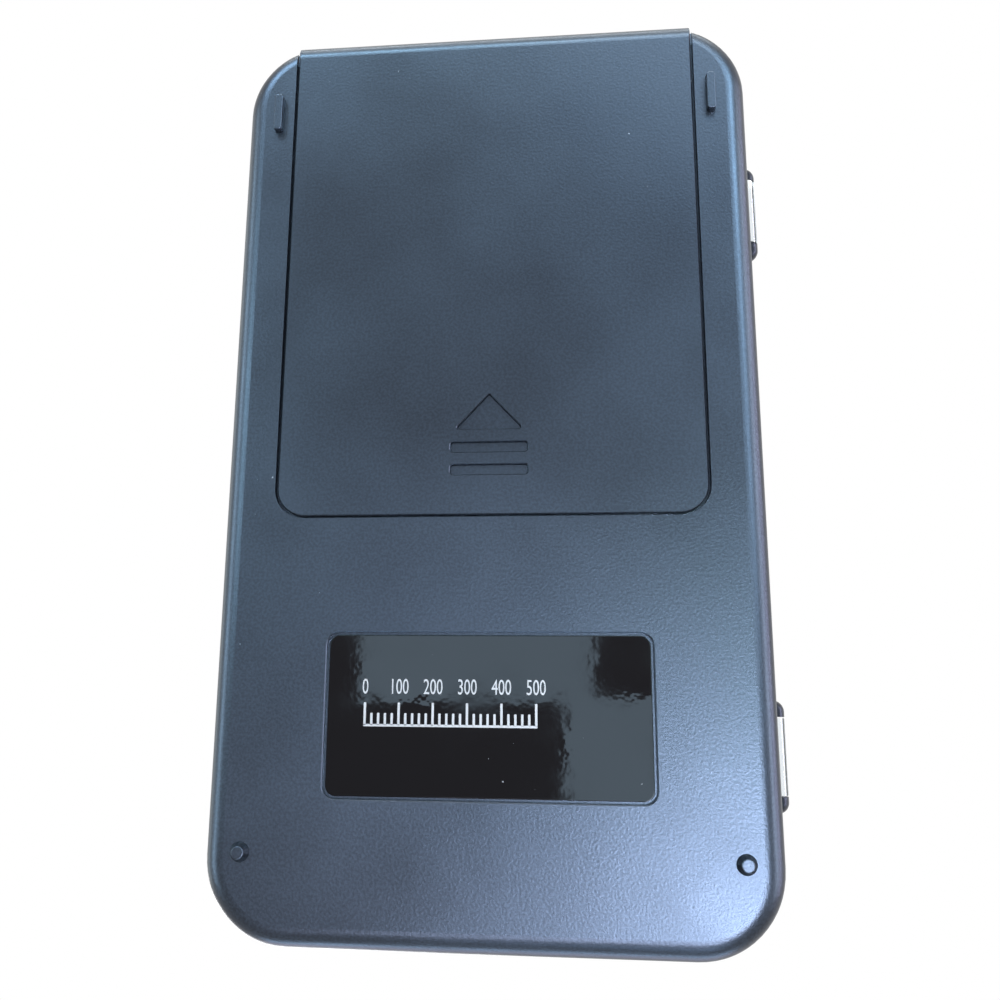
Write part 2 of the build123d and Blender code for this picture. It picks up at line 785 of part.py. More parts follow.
def hinge_pins():
    """The two steel pins."""
    reach = barrel_length / 2 + hinge_end_gap + ear_length - pin_recess
    spans = [(centre - reach, centre + reach) for centre in (-hinge_y, hinge_y)]
    return [rod_along_y(pin_radius, hinge_x, hinge_z, y0, y1) for y0, y1 in spans]


# ================================================================ platform and load cell
def weighing_platform():
    """The pressed steel pan."""
    low, high = platform_skirt_z, platform_top_z
    pan = slab(platform_width, platform_length, platform_corner_radius, low, high, platform_y)
    pan = rounded(pan, top_edges(pan), platform_bend)
    room = slab(
        platform_width - 2 * platform_sheet,
        platform_length - 2 * platform_sheet,
        platform_corner_radius - platform_sheet,
        platform_skirt_z - past_face,
        platform_top_z - platform_sheet,
        platform_y,
    )
    room = rounded(room, top_edges(room), platform_bend - platform_sheet)
    return pan - room


def support_top_z():
    """The height of the support's upper face, under the tape."""
    return platform_top_z - platform_sheet - tape_thickness


def top_screw_seat_z():
    """The height at which the heads of the upper beam screws bear on the support's boss."""
    return beam_top_z + support_seat


def platform_support():
    """The moulded plate under the pan, with the boss that stands on the load cell."""
    inset = platform_sheet + support_gap
    width, length = platform_width - 2 * inset, platform_length - 2 * inset
    top = support_top_z()
    plate = slab(width, length, platform_corner_radius - inset, platform_skirt_z, top, platform_y)
    plate = rounded(plate, top_edges(plate), platform_bend - platform_sheet)
    pocket_x = (width - (support_columns + 1) * support_rib) / support_columns
    pocket_y = (length - (support_rows + 1) * support_rib) / support_rows
    low = platform_skirt_z - past_face
    for i in range(support_columns):
        for j in range(support_rows):
            x = -width / 2 + support_rib + pocket_x / 2 + i * (pocket_x + support_rib)
            y = platform_y - length / 2 + support_rib + pocket_y / 2 + j * (pocket_y + support_rib)
            plate -= slab(pocket_x, pocket_y, support_rib, low, top - support_web, y, x)
    boss_y0 = beam_end_y - support_boss_length
    plate += block(-beam_width / 2, beam_width / 2, boss_y0, beam_end_y, beam_top_z, top - support_web / 2)
    for y in top_bolt_ys:
        plate -= rod(beam_screw_head_radius + thread_gap, 0, y, top_screw_seat_z(), top + past_face)
        plate -= rod(beam_screw_radius + deck_gap, 0, y, beam_top_z - past_face, top)
    return plate


def platform_tape():
    """The double-sided tape between the support and the pan."""
    inset = platform_sheet + support_gap + tape_inset
    top = platform_top_z - platform_sheet
    return slab(
        platform_width - 2 * inset,
        platform_length - 2 * inset,
        platform_corner_radius / 2,
        support_top_z(),
        top,
        platform_y,
    )


def load_cell():
    """The aluminium beam, thinned by its double hole."""
    beam = block(-beam_width / 2, beam_width / 2, beam_start_y, beam_end_y, beam_z, beam_top_z)
    middle = (beam_z + beam_top_z) / 2
    for side in (-1, 1):
        beam -= rod_along_x(
            beam_hole_radius, platform_y + side * beam_hole_spacing / 2, middle, -beam_width, beam_width
        )
    half = beam_hole_spacing / 2
    slot_z0, slot_z1 = middle - beam_slot_height / 2, middle + beam_slot_height / 2
    beam -= block(-beam_width, beam_width, platform_y - half, platform_y + half, slot_z0, slot_z1)
    for y in base_bolt_ys + top_bolt_ys:
        beam -= rod(beam_screw_radius + thread_gap, 0, y, beam_z - past_face, beam_top_z + past_face)
    return beam


def strain_gauges():
    """The four foil gauges over the thin places of the beam."""
    found = []
    for side in (-1, 1):
        y = platform_y + side * beam_hole_spacing / 2
        y0, y1 = y - gauge_length / 2, y + gauge_length / 2
        half = gauge_width / 2
        found.append(block(-half, half, y0, y1, beam_top_z, beam_top_z + gauge_thickness))
        found.append(block(-half, half, y0, y1, beam_z - gauge_thickness, beam_z))
    return found


def load_cell_base_screws():
    """The two screws that hold the beam's fixed end, put in from the door's side."""
    seat = deck_z + beam_screw_head_height + deck_gap / 2
    length = beam_z - seat + beam_screw_grip
    one = screw(beam_screw_radius, length, beam_screw_head_radius, beam_screw_head_height)
    return [Pos(0, y, seat) * one for y in base_bolt_ys]


def load_cell_top_screws():
    """The two screws that hold the support on the beam's free end."""
    seat = top_screw_seat_z()
    length = seat - beam_top_z + beam_screw_grip
    one = screw(beam_screw_radius, length, beam_screw_head_radius, beam_screw_head_height)
    return [Pos(0, y, seat) * Rot(180, 0, 0) * one for y in top_bolt_ys]


# ================================================================ cells and contacts
def cell(side):
    """One AAA cell. The left one's nub points to the far end, and the right one's to the keys."""
    x = side * bay_x
    away = 1 if side < 0 else -1
    nub_end = bay_end_y if away > 0 else bay_start_y
    nub_tip = nub_end - away * (contact_thickness + contact_bump)
    shoulder = nub_tip - away * cell_nub_height
    foot = shoulder - away * cell_length
    can = rod_along_y(cell_diameter / 2, x, cell_z, foot, shoulder)
    can = fillet(can.edges().filter_by(GeomType.CIRCLE), cell_edge_rounding)
    return can + rod_along_y(cell_nub_radius, x, cell_z, shoulder, nub_tip)


def contact_plate(side, end_y, way):
    """A sprung-steel plate against the end of a bay, with a solder tab through the wall beside it."""
    x = side * bay_x
    half = contact_width / 2
    face = end_y - way * contact_thickness
    low = cell_z - contact_height / 2
    plate = block(x - half, x + half, face, end_y, low, low + contact_height)
    tab_x = side * (tunnel_half - tab_reach)
    plate += block(x, tab_x, face, end_y, cell_z - tab_width / 2, cell_z + tab_width / 2)
    return plate


def plate_contact(side):
    """The contact that meets a cell's nub, with a pressed bump."""
    way = 1 if side < 0 else -1
    end_y = bay_end_y if way > 0 else bay_start_y
    face = end_y - way * contact_thickness
    tip = face - way * contact_bump
    x = side * bay_x
    return contact_plate(side, end_y, way) + rod_along_y(cell_nub_radius, x, cell_z, face, tip)


def spring_contact(side):
    """The contact with the coil spring that pushes on a cell's flat end."""
    way = -1 if side < 0 else 1
    end_y = bay_end_y if way > 0 else bay_start_y
    face = end_y - way * contact_thickness
    x = side * bay_x
    height = spring_space - contact_thickness - 2 * spring_wire_radius
    path = Helix(pitch=height / spring_turns, height=height, radius=spring_radius_wide)
    section = Plane(origin=path @ 0, z_dir=path % 0) * Circle(spring_wire_radius)
    coil = sweep(section, path=path, is_frenet=True)
    turn = Rot(90, 0, 0) if way > 0 else Rot(-90, 0, 0)
    coil = Pos(x, face - way * spring_wire_radius / 2, cell_z) * turn * coil
    return contact_plate(side, end_y, way) + coil


# ================================================================ display and board
def display_window():
    """The clear lens, flush with the casing's face."""
    return slab(
        window_width - 2 * window_gap,
        window_height - 2 * window_gap,
        window_corner_radius - window_gap,
        face_z - window_thickness,
        face_z,
        window_y,
    )


def display_span(width=display_width, height=display_height):
    """(low x, high x, low y, high y) of something centred under the window."""
    return -width / 2, width / 2, window_y - height / 2, window_y + height / 2


def lcd_glass():
    """The display: a front plate, and a shorter back plate that leaves its contact edge free."""
    x0, x1, y0, y1 = display_span()
    front = block(x0, x1, y0, y1, display_top_z - glass_plate, display_top_z)
    return front + block(x0, x1, y0 + glass_ledge, y1, backlight_top_z, display_top_z - glass_plate)


def backlight():
    """The light guide under the display."""
    x0, x1, y0, y1 = display_span()
    return block(x0, x1, y0 + glass_ledge, y1, board_top_z, backlight_top_z)


def zebra_strip():
    """The rubber connector between the board and the display's contact edge."""
    x0, x1, y0, y1 = display_span()
    middle = y0 + glass_ledge / 2
    half = zebra_width / 2
    ends = (x0 + zebra_end_inset, x1 - zebra_end_inset)
    return block(*ends, middle - half, middle + half, board_top_z, display_top_z - glass_plate)


def lcd_frame():
    """The moulded frame that holds the display on the board."""
    x0, x1, y0, y1 = display_span()
    gap, wall = frame_gap, frame_gap + frame_wall
    top = ceiling_z - frame_gap
    outer = block(x0 - wall, x1 + wall, y0 - wall, y1 + wall, board_top_z, top)
    low, high = board_top_z - past_face, top + past_face
    return outer - block(x0 - gap, x1 + gap, y0 - gap, y1 + gap, low, high)


def main_board():
    """The circuit board, which hangs from the upper casing's posts."""
    middle = (board_start_y + board_end_y) / 2
    length = board_start_y - board_end_y
    board = slab(board_width, length, board_corner_radius, board_z, board_top_z, middle)
    low, high = board_z - past_face, board_top_z + past_face
    for x, y in case_screws[:2]:
        board -= rod(case_post_radius + board_hole_gap, x, y, low, high)
    for x, y in board_screws:
        board -= rod(board_screw_radius + board_hole_gap, x, y, low, high)
    return board


def board_screw_set():
    """The four screws that hold the board up."""
    one = screw(board_screw_radius, board_screw_length, board_screw_head_radius, board_screw_head_height)
    return [Pos(x, y, board_z) * one for x, y in board_screws]


def controller_blob():
    """The black resin over the chip, under the board."""
    sphere_radius = (blob_radius**2 + blob_height**2) / (2 * blob_height)
    centre = board_z - blob_height + sphere_radius
    dome = Pos(0, blob_y, centre) * Sphere(sphere_radius)
    return dome & rod(blob_radius + past_face, 0, blob_y, board_z - blob_height - past_face, board_z)


def board_components():
    """The small chip parts round the resin."""
    found = []
    for i in range(chip_count):
        angle = 2 * pi * (i + 1 / 2) / chip_count
        x = chip_spread_x * blob_radius * cos(angle)
        y = blob_y + chip_spread_y * blob_radius * sin(angle)
        found.append(Pos(x, y, board_z - chip_height / 2) * Box(chip_length, chip_width, chip_height))
    return found


def switch_bodies():
    """The four switch housings on the board."""
    found = []
    half = switch_side / 2
    for x in key_xs:
        body = block(x - half, x + half, key_y - half, key_y + half, board_top_z, switch_top_z)
        pocket = switch_top_z - plunger_depth - key_travel - plunger_room
        top = switch_top_z + past_face
        found.append(body - rod(plunger_radius + plunger_gap, x, key_y, pocket, top))
    return found


def switch_plunger(x):
    """The moving button of one switch."""
    return rod(plunger_radius, x, key_y, switch_top_z - plunger_depth, plunger_top_z)


def key(x):
    """One key: cap, flange and stem."""
    flange_z = key_flange_top_z - key_flange_thickness
    cap = slab(key_width, key_height, key_corner_radius, flange_z, key_top_z, key_y, x)
    cap = rounded(cap, top_edges(cap), key_rounding)
    grow = 2 * key_flange
    flange_radius = key_corner_radius + key_flange
    flange_size = (key_width + grow, key_height + grow, flange_radius)
    cap += slab(*flange_size, flange_z, key_flange_top_z, key_y, x)
    return cap + rod(stem_radius, x, key_y, plunger_top_z, flange_z)


# ================================================================ case screws and wires
def case_screw_set():
    """The four case screws, two under the door and two under the label."""
    one = screw(case_screw_radius, case_screw_length, case_screw_head_radius, case_screw_head_height)
    return [Pos(x, y, screw_seat_z(y)) * one for x, y in case_screws]


def load_cell_wires():
    """The fine wires from the gauges, over the beam's fixed end and up to the underside of the board."""
    found = []
    r = sensor_wire_radius
    over = beam_top_z + gauge_thickness + r
    under = board_z - sensor_wire_drop
    start_y = platform_y - beam_hole_spacing / 2 - gauge_length / 2
    end_y = board_start_y - sensor_wire_landing
    for i in range(sensor_wire_count):
        x = (i - (sensor_wire_count - 1) / 2) * sensor_wire_pitch
        points = [
            (x, start_y, over),
            (x, beam_start_y - wire_overhang, over),
            (x, board_start_y + wire_overhang, under),
            (x, end_y, under),
            (x, end_y, board_z),
        ]
        found.append(wire(points, sensor_wire_bends, r))
    return found


def battery_leads():
    """The two leads from the contacts nearest the board, and the jumper between the far contacts."""
    found = []
    r = wire_radius
    tab_z = cell_z + tab_width / 2 + r
    under = board_z - lead_drop
    end_y = board_start_y - lead_landing
    for side in (-1, 1):
        x = side * (tunnel_half - tab_reach / 2)
        points = [
            (x, bay_start_y + contact_thickness / 2, tab_z),
            (x, bay_start_y - lead_landing / 2, tab_z),
            (x, board_start_y, under),
            (x, end_y, under),
            (x, end_y, board_z),
        ]
        found.append(wire(points, lead_bends, r))
    x = tunnel_half - tab_reach / 2
    y = bay_end_y - contact_thickness / 2
    over = tab_z + jumper_rise
    points = [(-x, y, tab_z), (-x + jumper_rise, y, over), (x - jumper_rise, y, over), (x, y, tab_z)]
    found.append(wire(points, jumper_bends, r))
    return found


# ================================================================ all pieces
def pieces():
    """Every node's name, and its solid or list of solids."""
    made = {
        "bottom_shell": bottom_shell(),
        "battery_door": battery_door(),
        "rating_label": rating_label(),
        "top_shell": top_shell(),
        "lid": lid(),
        "hinge_pins": hinge_pins(),
        "weighing_platform": weighing_platform(),
        "platform_tape": platform_tape(),
        "platform_support": platform_support(),
        "load_cell": load_cell(),
        "strain_gauges": strain_gauges(),
        "load_cell_base_screws": load_cell_base_screws(),
        "load_cell_top_screws": load_cell_top_screws(),
        "load_cell_wires": load_cell_wires(),
        "battery_leads": battery_leads(),
        "case_screws": case_screw_set(),
        "display_window": display_window(),
        "lcd_glass": lcd_glass(),
        "lcd_frame": lcd_frame(),
        "backlight": backlight(),
        "zebra_strip": zebra_strip(),
        "main_board": main_board(),
        "board_screws": board_screw_set(),
        "controller_blob": controller_blob(),
        "board_components": board_components(),
        "switch_bodies": switch_bodies(),
    }
    for name, x in zip(key_names, key_xs):
        made[f"key_{name}"] = key(x)
        made[f"plunger_{name}"] = switch_plunger(x)
    for name, side in (("left", -1), ("right", 1)):
        made[f"cell_{name}"] = cell(side)
        made[f"spring_contact_{name}"] = spring_contact(side)
        made[f"plate_contact_{name}"] = plate_contact(side)
    return made


os.makedirs("parts", exist_ok=True)
for node, shape in pieces().items():
    solids = [s for item in (shape if isinstance(shape, list) else [shape]) for s in item.solids()]
    moved = [Pos(row_shift, 0, 0) * s for s in solids]
    whole = moved[0] if len(moved) == 1 else Compound(children=moved)
    export_step(whole, f"parts/{node}.step")
print("hinge axis at", round(hinge_x + row_shift, 3), round(hinge_z, 3))
print("closed height", round(lid_top_z, 3))
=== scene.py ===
"""Looks for a pocket gram scale with a clear folding lid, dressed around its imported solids.

The scale stands on its feet at Z = 0, with +Y from the keys towards the weighing platform and the lid's hinge
on the -X side. Lengths in the classes below are millimetres, and every mesh is in metres.
"""

from __future__ import annotations

import json
import logging
import math
from collections.abc import Callable
from dataclasses import dataclass
from enum import Enum
from typing import ClassVar

import bpy
from mathutils import Euler, Matrix, Vector

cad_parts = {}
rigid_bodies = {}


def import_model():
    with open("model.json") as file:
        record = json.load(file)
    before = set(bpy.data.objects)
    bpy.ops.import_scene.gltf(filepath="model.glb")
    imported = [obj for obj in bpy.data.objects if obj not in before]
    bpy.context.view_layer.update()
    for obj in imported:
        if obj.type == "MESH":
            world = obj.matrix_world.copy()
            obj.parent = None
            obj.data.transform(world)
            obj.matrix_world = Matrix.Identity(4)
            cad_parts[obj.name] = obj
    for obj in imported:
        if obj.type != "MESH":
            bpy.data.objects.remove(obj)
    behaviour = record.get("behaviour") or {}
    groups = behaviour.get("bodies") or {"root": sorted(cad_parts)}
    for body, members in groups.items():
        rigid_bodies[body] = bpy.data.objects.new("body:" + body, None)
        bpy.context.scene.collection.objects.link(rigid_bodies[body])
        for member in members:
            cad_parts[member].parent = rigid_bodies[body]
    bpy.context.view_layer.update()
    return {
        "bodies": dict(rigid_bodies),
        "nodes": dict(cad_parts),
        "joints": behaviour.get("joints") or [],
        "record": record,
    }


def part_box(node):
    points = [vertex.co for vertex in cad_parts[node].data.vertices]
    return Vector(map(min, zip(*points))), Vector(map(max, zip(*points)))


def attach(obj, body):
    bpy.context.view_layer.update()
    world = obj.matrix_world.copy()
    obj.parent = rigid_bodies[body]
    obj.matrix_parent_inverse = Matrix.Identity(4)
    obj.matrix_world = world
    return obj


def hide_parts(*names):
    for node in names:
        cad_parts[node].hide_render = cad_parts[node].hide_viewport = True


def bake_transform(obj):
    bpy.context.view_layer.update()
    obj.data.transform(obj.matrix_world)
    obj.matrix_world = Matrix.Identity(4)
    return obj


Piece = bpy.types.Object
Node = bpy.types.Node
Socket = bpy.types.NodeSocket
Tree = bpy.types.NodeTree

MM = 0.001
MERGE = 1e-7  # metres, between points that are one point
NOISE_SPAN = (0.3, 0.7)  # holds nearly all values of a noise
RANGE = ("From Min", "From Max", "To Min", "To Max")
HALF = 0.5  # tells 0 from 1
CORNER_STEPS = 5  # of a rounded corner
LETTER_STEPS = 4  # of a letter's curves
FLAT = 0.9  # least cosine between a face's normal and an axis that it faces
BYTE = 255
SRGB_TOE, SRGB_SLOPE, SRGB_OFFSET, SRGB_GAMMA = 0.04045, 12.92, 0.055, 2.4
LOG = logging.getLogger("gram_scale")


# ---- colours and nodes
def linear(hex_colour: str) -> tuple[float, float, float, float]:
    """Turns a written sRGB colour into linear light.

    Args:
        hex_colour: The colour as "#rrggbb".

    Returns:
        Red, green, blue and an alpha of 1.
    """
    parts = [int(hex_colour[i : i + 2], 16) / BYTE for i in (1, 3, 5)]
    curved = [((c + SRGB_OFFSET) / (1 + SRGB_OFFSET)) ** SRGB_GAMMA for c in parts]
    red, green, blue = [c / SRGB_SLOPE if c <= SRGB_TOE else bent for c, bent in zip(parts, curved)]
    return (red, green, blue, 1.0)


def add_node(
    tree: Tree,
    kind: str,
    settings: dict[str | int, object] | None = None,
    links: dict[str | int, Socket | Node] | None = None,
) -> Node:
    """Adds one node with its settings and links.

    Args:
        tree: The tree that takes the node.
        kind: The node's type name, without its "ShaderNode" prefix.
        settings: Values for the node's own properties, or for its inputs by name or number.
        links: What feeds its inputs, by name or number: a socket, or a node for its first output.

    Returns:
        The new node.
    """
    node = tree.nodes.new(f"ShaderNode{kind}")
    own = {p.identifier for p in node.bl_rna.properties}
    for key, value in (settings or {}).items():
        if key in own:
            setattr(node, key, value)
    for key, value in (settings or {}).items():
        if key not in own:
            node.inputs[key].default_value = value
    for key, source in (links or {}).items():
        tree.links.new(source if isinstance(source, Socket) else source.outputs[0], node.inputs[key])
    return node


class Lay(Enum):
    """The way that a brushed or drawn metal's lines run."""

    ACROSS = (0.02, 1.0, 1.0)
    ALONG = (1.0, 0.02, 1.0)
    NONE = (1.0, 1.0, 1.0)


# ---- finishes
@dataclass(frozen=True)
class Finish:
    """What every finish shares: a name, and a node tree that starts from the object's own coordinates."""

    name: str

    def build(self) -> bpy.types.Material:
        """Makes the material.

        Returns:
            The finished material.
        """
        material = bpy.data.materials.new(self.name)
        material.use_nodes = True
        tree = material.node_tree
        tree.nodes.clear()
        place = add_node(tree, "TexCoord").outputs["Object"]
        add_node(tree, "OutputMaterial", links={"Surface": self.surface(tree, place)})
        return material

    def surface(self, tree: Tree, place: Socket) -> Node:
        """Builds the surface; each finish has its own.

        Args:
            tree: The material's tree.
            place: The object coordinates, in metres.

        Returns:
            The shader.
        """
        raise NotImplementedError


@dataclass(frozen=True)
class Moulded(Finish):
    """A moulded plastic, rubber or resin, with the fine grain of its mould and a slow change of sheen."""

    colour: str
    deep_colour: str
    grain: float = 0.3  # mm
    relief: float = 0.006  # mm
    roughness: float = 0.45
    specular: float = 0.5
    sheen_tint: str = "#ffffff"  # of the reflection
    cloud: float = 14.0  # mm, size of the slow changes
    mottle: float = 0.0  # share of the colour's change that is as fine as the grain
    dust: float = 0.0  # mm between specks; none at 0
    dust_colour: str = "#b9c3cf"
    dust_size: float = 0.03  # the largest speck's radius, as a share of the distance between specks
    dust_outline: tuple[float, float] = (0.15, 0.16)  # mm, size and reach of the outline's dents
    mottle_span: tuple[float, float] = (0.36, 0.64)  # of the grain, from one colour to the other
    sheen_change: float = 0.04  # of the roughness, each way

    def surface(self, tree: Tree, place: Socket) -> Node:
        """Grain as relief, and clouds in colour and sheen.

        Args:
            tree: The material's tree.
            place: The object coordinates.

        Returns:
            The shader.
        """
        cloud = add_node(tree, "TexNoise", {"Scale": 1 / (self.cloud * MM), "Detail": 3.0}, {"Vector": place})
        grain = add_node(tree, "TexNoise", {"Scale": 1 / (self.grain * MM), "Detail": 2.0}, {"Vector": place})
        shade = cloud
        if self.mottle:
            span = dict(zip(RANGE, self.mottle_span))
            fine = add_node(tree, "MapRange", span, {"Value": grain})
            mixed = {"data_type": "FLOAT", "Factor": self.mottle}
            shade = add_node(tree, "Mix", mixed, {2: cloud, 3: fine})
        colours = {"data_type": "RGBA", 6: linear(self.colour), 7: linear(self.deep_colour)}
        tint = add_node(tree, "Mix", colours, {"Factor": shade}).outputs[2]
        if self.dust:
            tint = self.dusted(tree, place, tint)
        span = (*NOISE_SPAN, self.roughness - self.sheen_change, self.roughness + self.sheen_change)
        sheen = add_node(tree, "MapRange", dict(zip(RANGE, span)), {"Value": cloud})
        bump = add_node(tree, "Bump", {"Distance": self.relief * MM}, {"Height": grain})
        gloss = {"Specular IOR Level": self.specular, "Specular Tint": linear(self.sheen_tint)}
        links = {"Base Color": tint, "Roughness": sheen, "Normal": bump}
        return add_node(tree, "BsdfPrincipled", gloss, links)

    def dusted(self, tree: Tree, place: Socket, tint: Socket) -> Socket:
        """Sprinkles a few pale specks over a colour, each with its own size, outline and strength.

        Args:
            tree: The material's tree.
            place: The object coordinates.
            tint: The colour under the specks.

        Returns:
            The colour with its specks.
        """
        dent, reach = self.dust_outline
        ragged = add_node(tree, "TexNoise", {"Scale": 1 / (dent * MM), "Detail": 1.0}, {"Vector": place})
        moved = {"operation": "MULTIPLY_ADD", 1: (reach * MM,) * 3}
        nudged = add_node(tree, "VectorMath", moved, {0: ragged.outputs["Color"], 2: place})
        spacing = {"Scale": 1 / (self.dust * MM)}
        cells = add_node(tree, "TexVoronoi", spacing, {"Vector": nudged}).outputs
        pick = add_node(tree, "SeparateColor", links={"Color": cells["Color"]}).outputs
        size = add_node(tree, "Math", {"operation": "MULTIPLY", 1: self.dust_size}, {0: pick["Green"]})
        small = add_node(tree, "Math", {"operation": "LESS_THAN"}, {0: cells["Distance"], 1: size})
        mask = add_node(tree, "Math", {"operation": "MULTIPLY"}, {0: small, 1: pick["Red"]})
        speck = {"data_type": "RGBA", 7: linear(self.dust_colour)}
        return add_node(tree, "Mix", speck, {"Factor": mask, 6: tint}).outputs[2]


@dataclass(frozen=True)
class Metal(Finish):
    """A metal with the fine lines that brushing, drawing or milling leaves."""

    colour: str
    roughness: float
    lay: Lay = Lay.NONE
    line: float = 0.18  # mm between lines
    relief: float = 0.002  # mm
    change: float = 0.2  # share of the roughness that the lines add or take away

    def surface(self, tree: Tree, place: Socket) -> Node:
        """Lines as relief and as a change of roughness.

        Args:
            tree: The material's tree.
            place: The object coordinates.

        Returns:
            The shader.
        """
        turned = add_node(tree, "Mapping", {"Scale": self.lay.value}, {"Vector": place})
        lines = add_node(tree, "TexNoise", {"Scale": 1 / (self.line * MM), "Detail": 3.0}, {"Vector": turned})
        span = (*NOISE_SPAN, self.roughness * (1 - self.change), self.roughness * (1 + self.change))
        rough = add_node(tree, "MapRange", dict(zip(RANGE, span)), {"Value": lines})
        bump = add_node(tree, "Bump", {"Distance": self.relief * MM}, {"Height": lines})
        metal = {"Base Color": linear(self.colour), "Metallic": 1.0}
        return add_node(tree, "BsdfPrincipled", metal, {"Roughness": rough, "Normal": bump})


@dataclass(frozen=True)
class ClearPlastic(Finish):
    """A clear moulding, which lets the light of the lamps through to what lies under it."""

    tint: str
    ior: float
    roughness: float = 0.02
    haze: float = 9.0  # mm, size of the slow changes of its gloss
    haze_span: tuple[float, float] = (0.35, 0.75)  # of the noise, from the clearest to the haziest
    haziest: float = 2.5  # times the roughness

    def surface(self, tree: Tree, place: Socket) -> Node:
        """Clear to the eye, with a faintly uneven gloss, and see-through to shadows.

        Args:
            tree: The material's tree.
            place: The object coordinates.

        Returns:
            The shader.
        """
        haze = add_node(tree, "TexNoise", {"Scale": 1 / (self.haze * MM), "Detail": 4.0}, {"Vector": place})
        span = (*self.haze_span, self.roughness, self.roughness * self.haziest)
        rough = add_node(tree, "MapRange", dict(zip(RANGE, span)), {"Value": haze})
        clear = {"Base Color": linear(self.tint), "IOR": self.ior, "Transmission Weight": 1.0}
        shader = add_node(tree, "BsdfPrincipled", clear, {"Roughness": rough})
        through = add_node(tree, "BsdfTransparent", {"Color": linear(self.tint)})
        shadow = add_node(tree, "LightPath").outputs["Is Shadow Ray"]
        return add_node(tree, "MixShader", links={0: shadow, 1: shader, 2: through})


@dataclass(frozen=True)
class Banded(Finish):
    """A finish whose colour changes at set places along one axis, such as a cell's printed jacket."""

    stops: tuple[tuple[float, str], ...]  # (mm along the axis, colour from there on)
    axis: str
    metallic: float = 0.0
    roughness: float = 0.35
    scuff: float = 2.5  # mm
    change: float = 0.3  # share of the roughness that the scuffs add or take away

    def surface(self, tree: Tree, place: Socket) -> Node:
        """Bands with sharp edges, and a scuffed gloss.

        Args:
            tree: The material's tree.
            place: The object coordinates.

        Returns:
            The shader.
        """
        low, high = self.stops[0][0], self.stops[-1][0]
        axis = add_node(tree, "SeparateXYZ", links={"Vector": place}).outputs[self.axis]
        along = add_node(tree, "MapRange", {"From Min": low * MM, "From Max": high * MM}, {"Value": axis})
        ramp = add_node(tree, "ValToRGB", links={"Fac": along})
        ramp.color_ramp.interpolation = "CONSTANT"
        marks = ramp.color_ramp.elements
        while len(marks) < len(self.stops):
            marks.new(HALF)
        for mark, (at, colour) in zip(marks, self.stops):
            mark.position = (at - low) / (high - low)
            mark.color = linear(colour)
        scuff = add_node(tree, "TexNoise", {"Scale": 1 / (self.scuff * MM), "Detail": 5.0}, {"Vector": place})
        span = (0.0, 1.0, self.roughness * (1 - self.change), self.roughness * (1 + self.change))
        rough = add_node(tree, "MapRange", dict(zip(RANGE, span)), {"Value": scuff})
        links = {"Base Color": ramp, "Roughness": rough}
        return add_node(tree, "BsdfPrincipled", {"Metallic": self.metallic}, links)


@dataclass(frozen=True)
class Striped(Finish):
    """Rubber in even layers along X, such as a connector's insulating and conducting stripes."""

    pale: str
    dark: str
    pitch: float  # mm
    roughness: float = 0.6
    turn_per_scale: float = 20.0  # radians that the wave turns in one unit at a scale of 1

    def surface(self, tree: Tree, place: Socket) -> Node:
        """Stripes with soft edges and a matt face.

        Args:
            tree: The material's tree.
            place: The object coordinates.

        Returns:
            The shader.
        """
        scale = math.tau / (self.turn_per_scale * self.pitch * MM)
        wave = add_node(tree, "TexWave", {"Scale": scale}, {"Vector": place})
        colours = {"data_type": "RGBA", 6: linear(self.pale), 7: linear(self.dark)}
        tint = add_node(tree, "Mix", colours, {"Factor": wave.outputs["Fac"]}).outputs[2]
        return add_node(tree, "BsdfPrincipled", {"Roughness": self.roughness}, {"Base Color": tint})


@dataclass(frozen=True)
class CircuitBoard(Finish):
    """Glass-epoxy board under green solder mask, with the copper showing through as paler tracks."""

    mask: str = "#0d5a2b"
    track: str = "#1d7f3f"
    pitch: float = 8.19  # mm, for a wave that bends into tracks about 1.3 mm apart
    bend: float = 6.0
    track_edge: tuple[float, float] = (0.66, 0.72)  # of the wave, from mask to track
    relief: float = 0.03  # mm
    roughness: float = 0.3

    def surface(self, tree: Tree, place: Socket) -> Node:
        """Tracks as bent stripes with a slight relief.

        Args:
            tree: The material's tree.
            place: The object coordinates.

        Returns:
            The shader.
        """
        bent = {"Scale": 1 / (self.pitch * MM), "Distortion": self.bend, "Detail": 1.0, "Detail Scale": 0.6}
        wave = add_node(tree, "TexWave", bent, {"Vector": place}).outputs["Fac"]
        edge = add_node(tree, "MapRange", dict(zip(RANGE, self.track_edge)), {"Value": wave})
        colours = {"data_type": "RGBA", 6: linear(self.mask), 7: linear(self.track)}
        tint = add_node(tree, "Mix", colours, {"Factor": edge}).outputs[2]
        bump = add_node(tree, "Bump", {"Distance": self.relief * MM}, {"Height": edge})
        links = {"Base Color": tint, "Normal": bump}
        return add_node(tree, "BsdfPrincipled", {"Roughness": self.roughness}, links)


SENSOR_WIRES = ((-1.0, "#b01c1f"), (0.6, "#16171a"), (1.5, "#d9d6cf"), (2.4, "#2f7d3c"), (4.0, "#2f7d3c"))
LEFT_JACKET = ((2.0, "#23272d"), (34.0, "#b06a2a"), (45.5, "#c4c4c0"), (49.0, "#c4c4c0"))
RIGHT_JACKET = ((-3.0, "#c4c4c0"), (-0.5, "#b06a2a"), (11.0, "#23272d"), (49.0, "#23272d"))


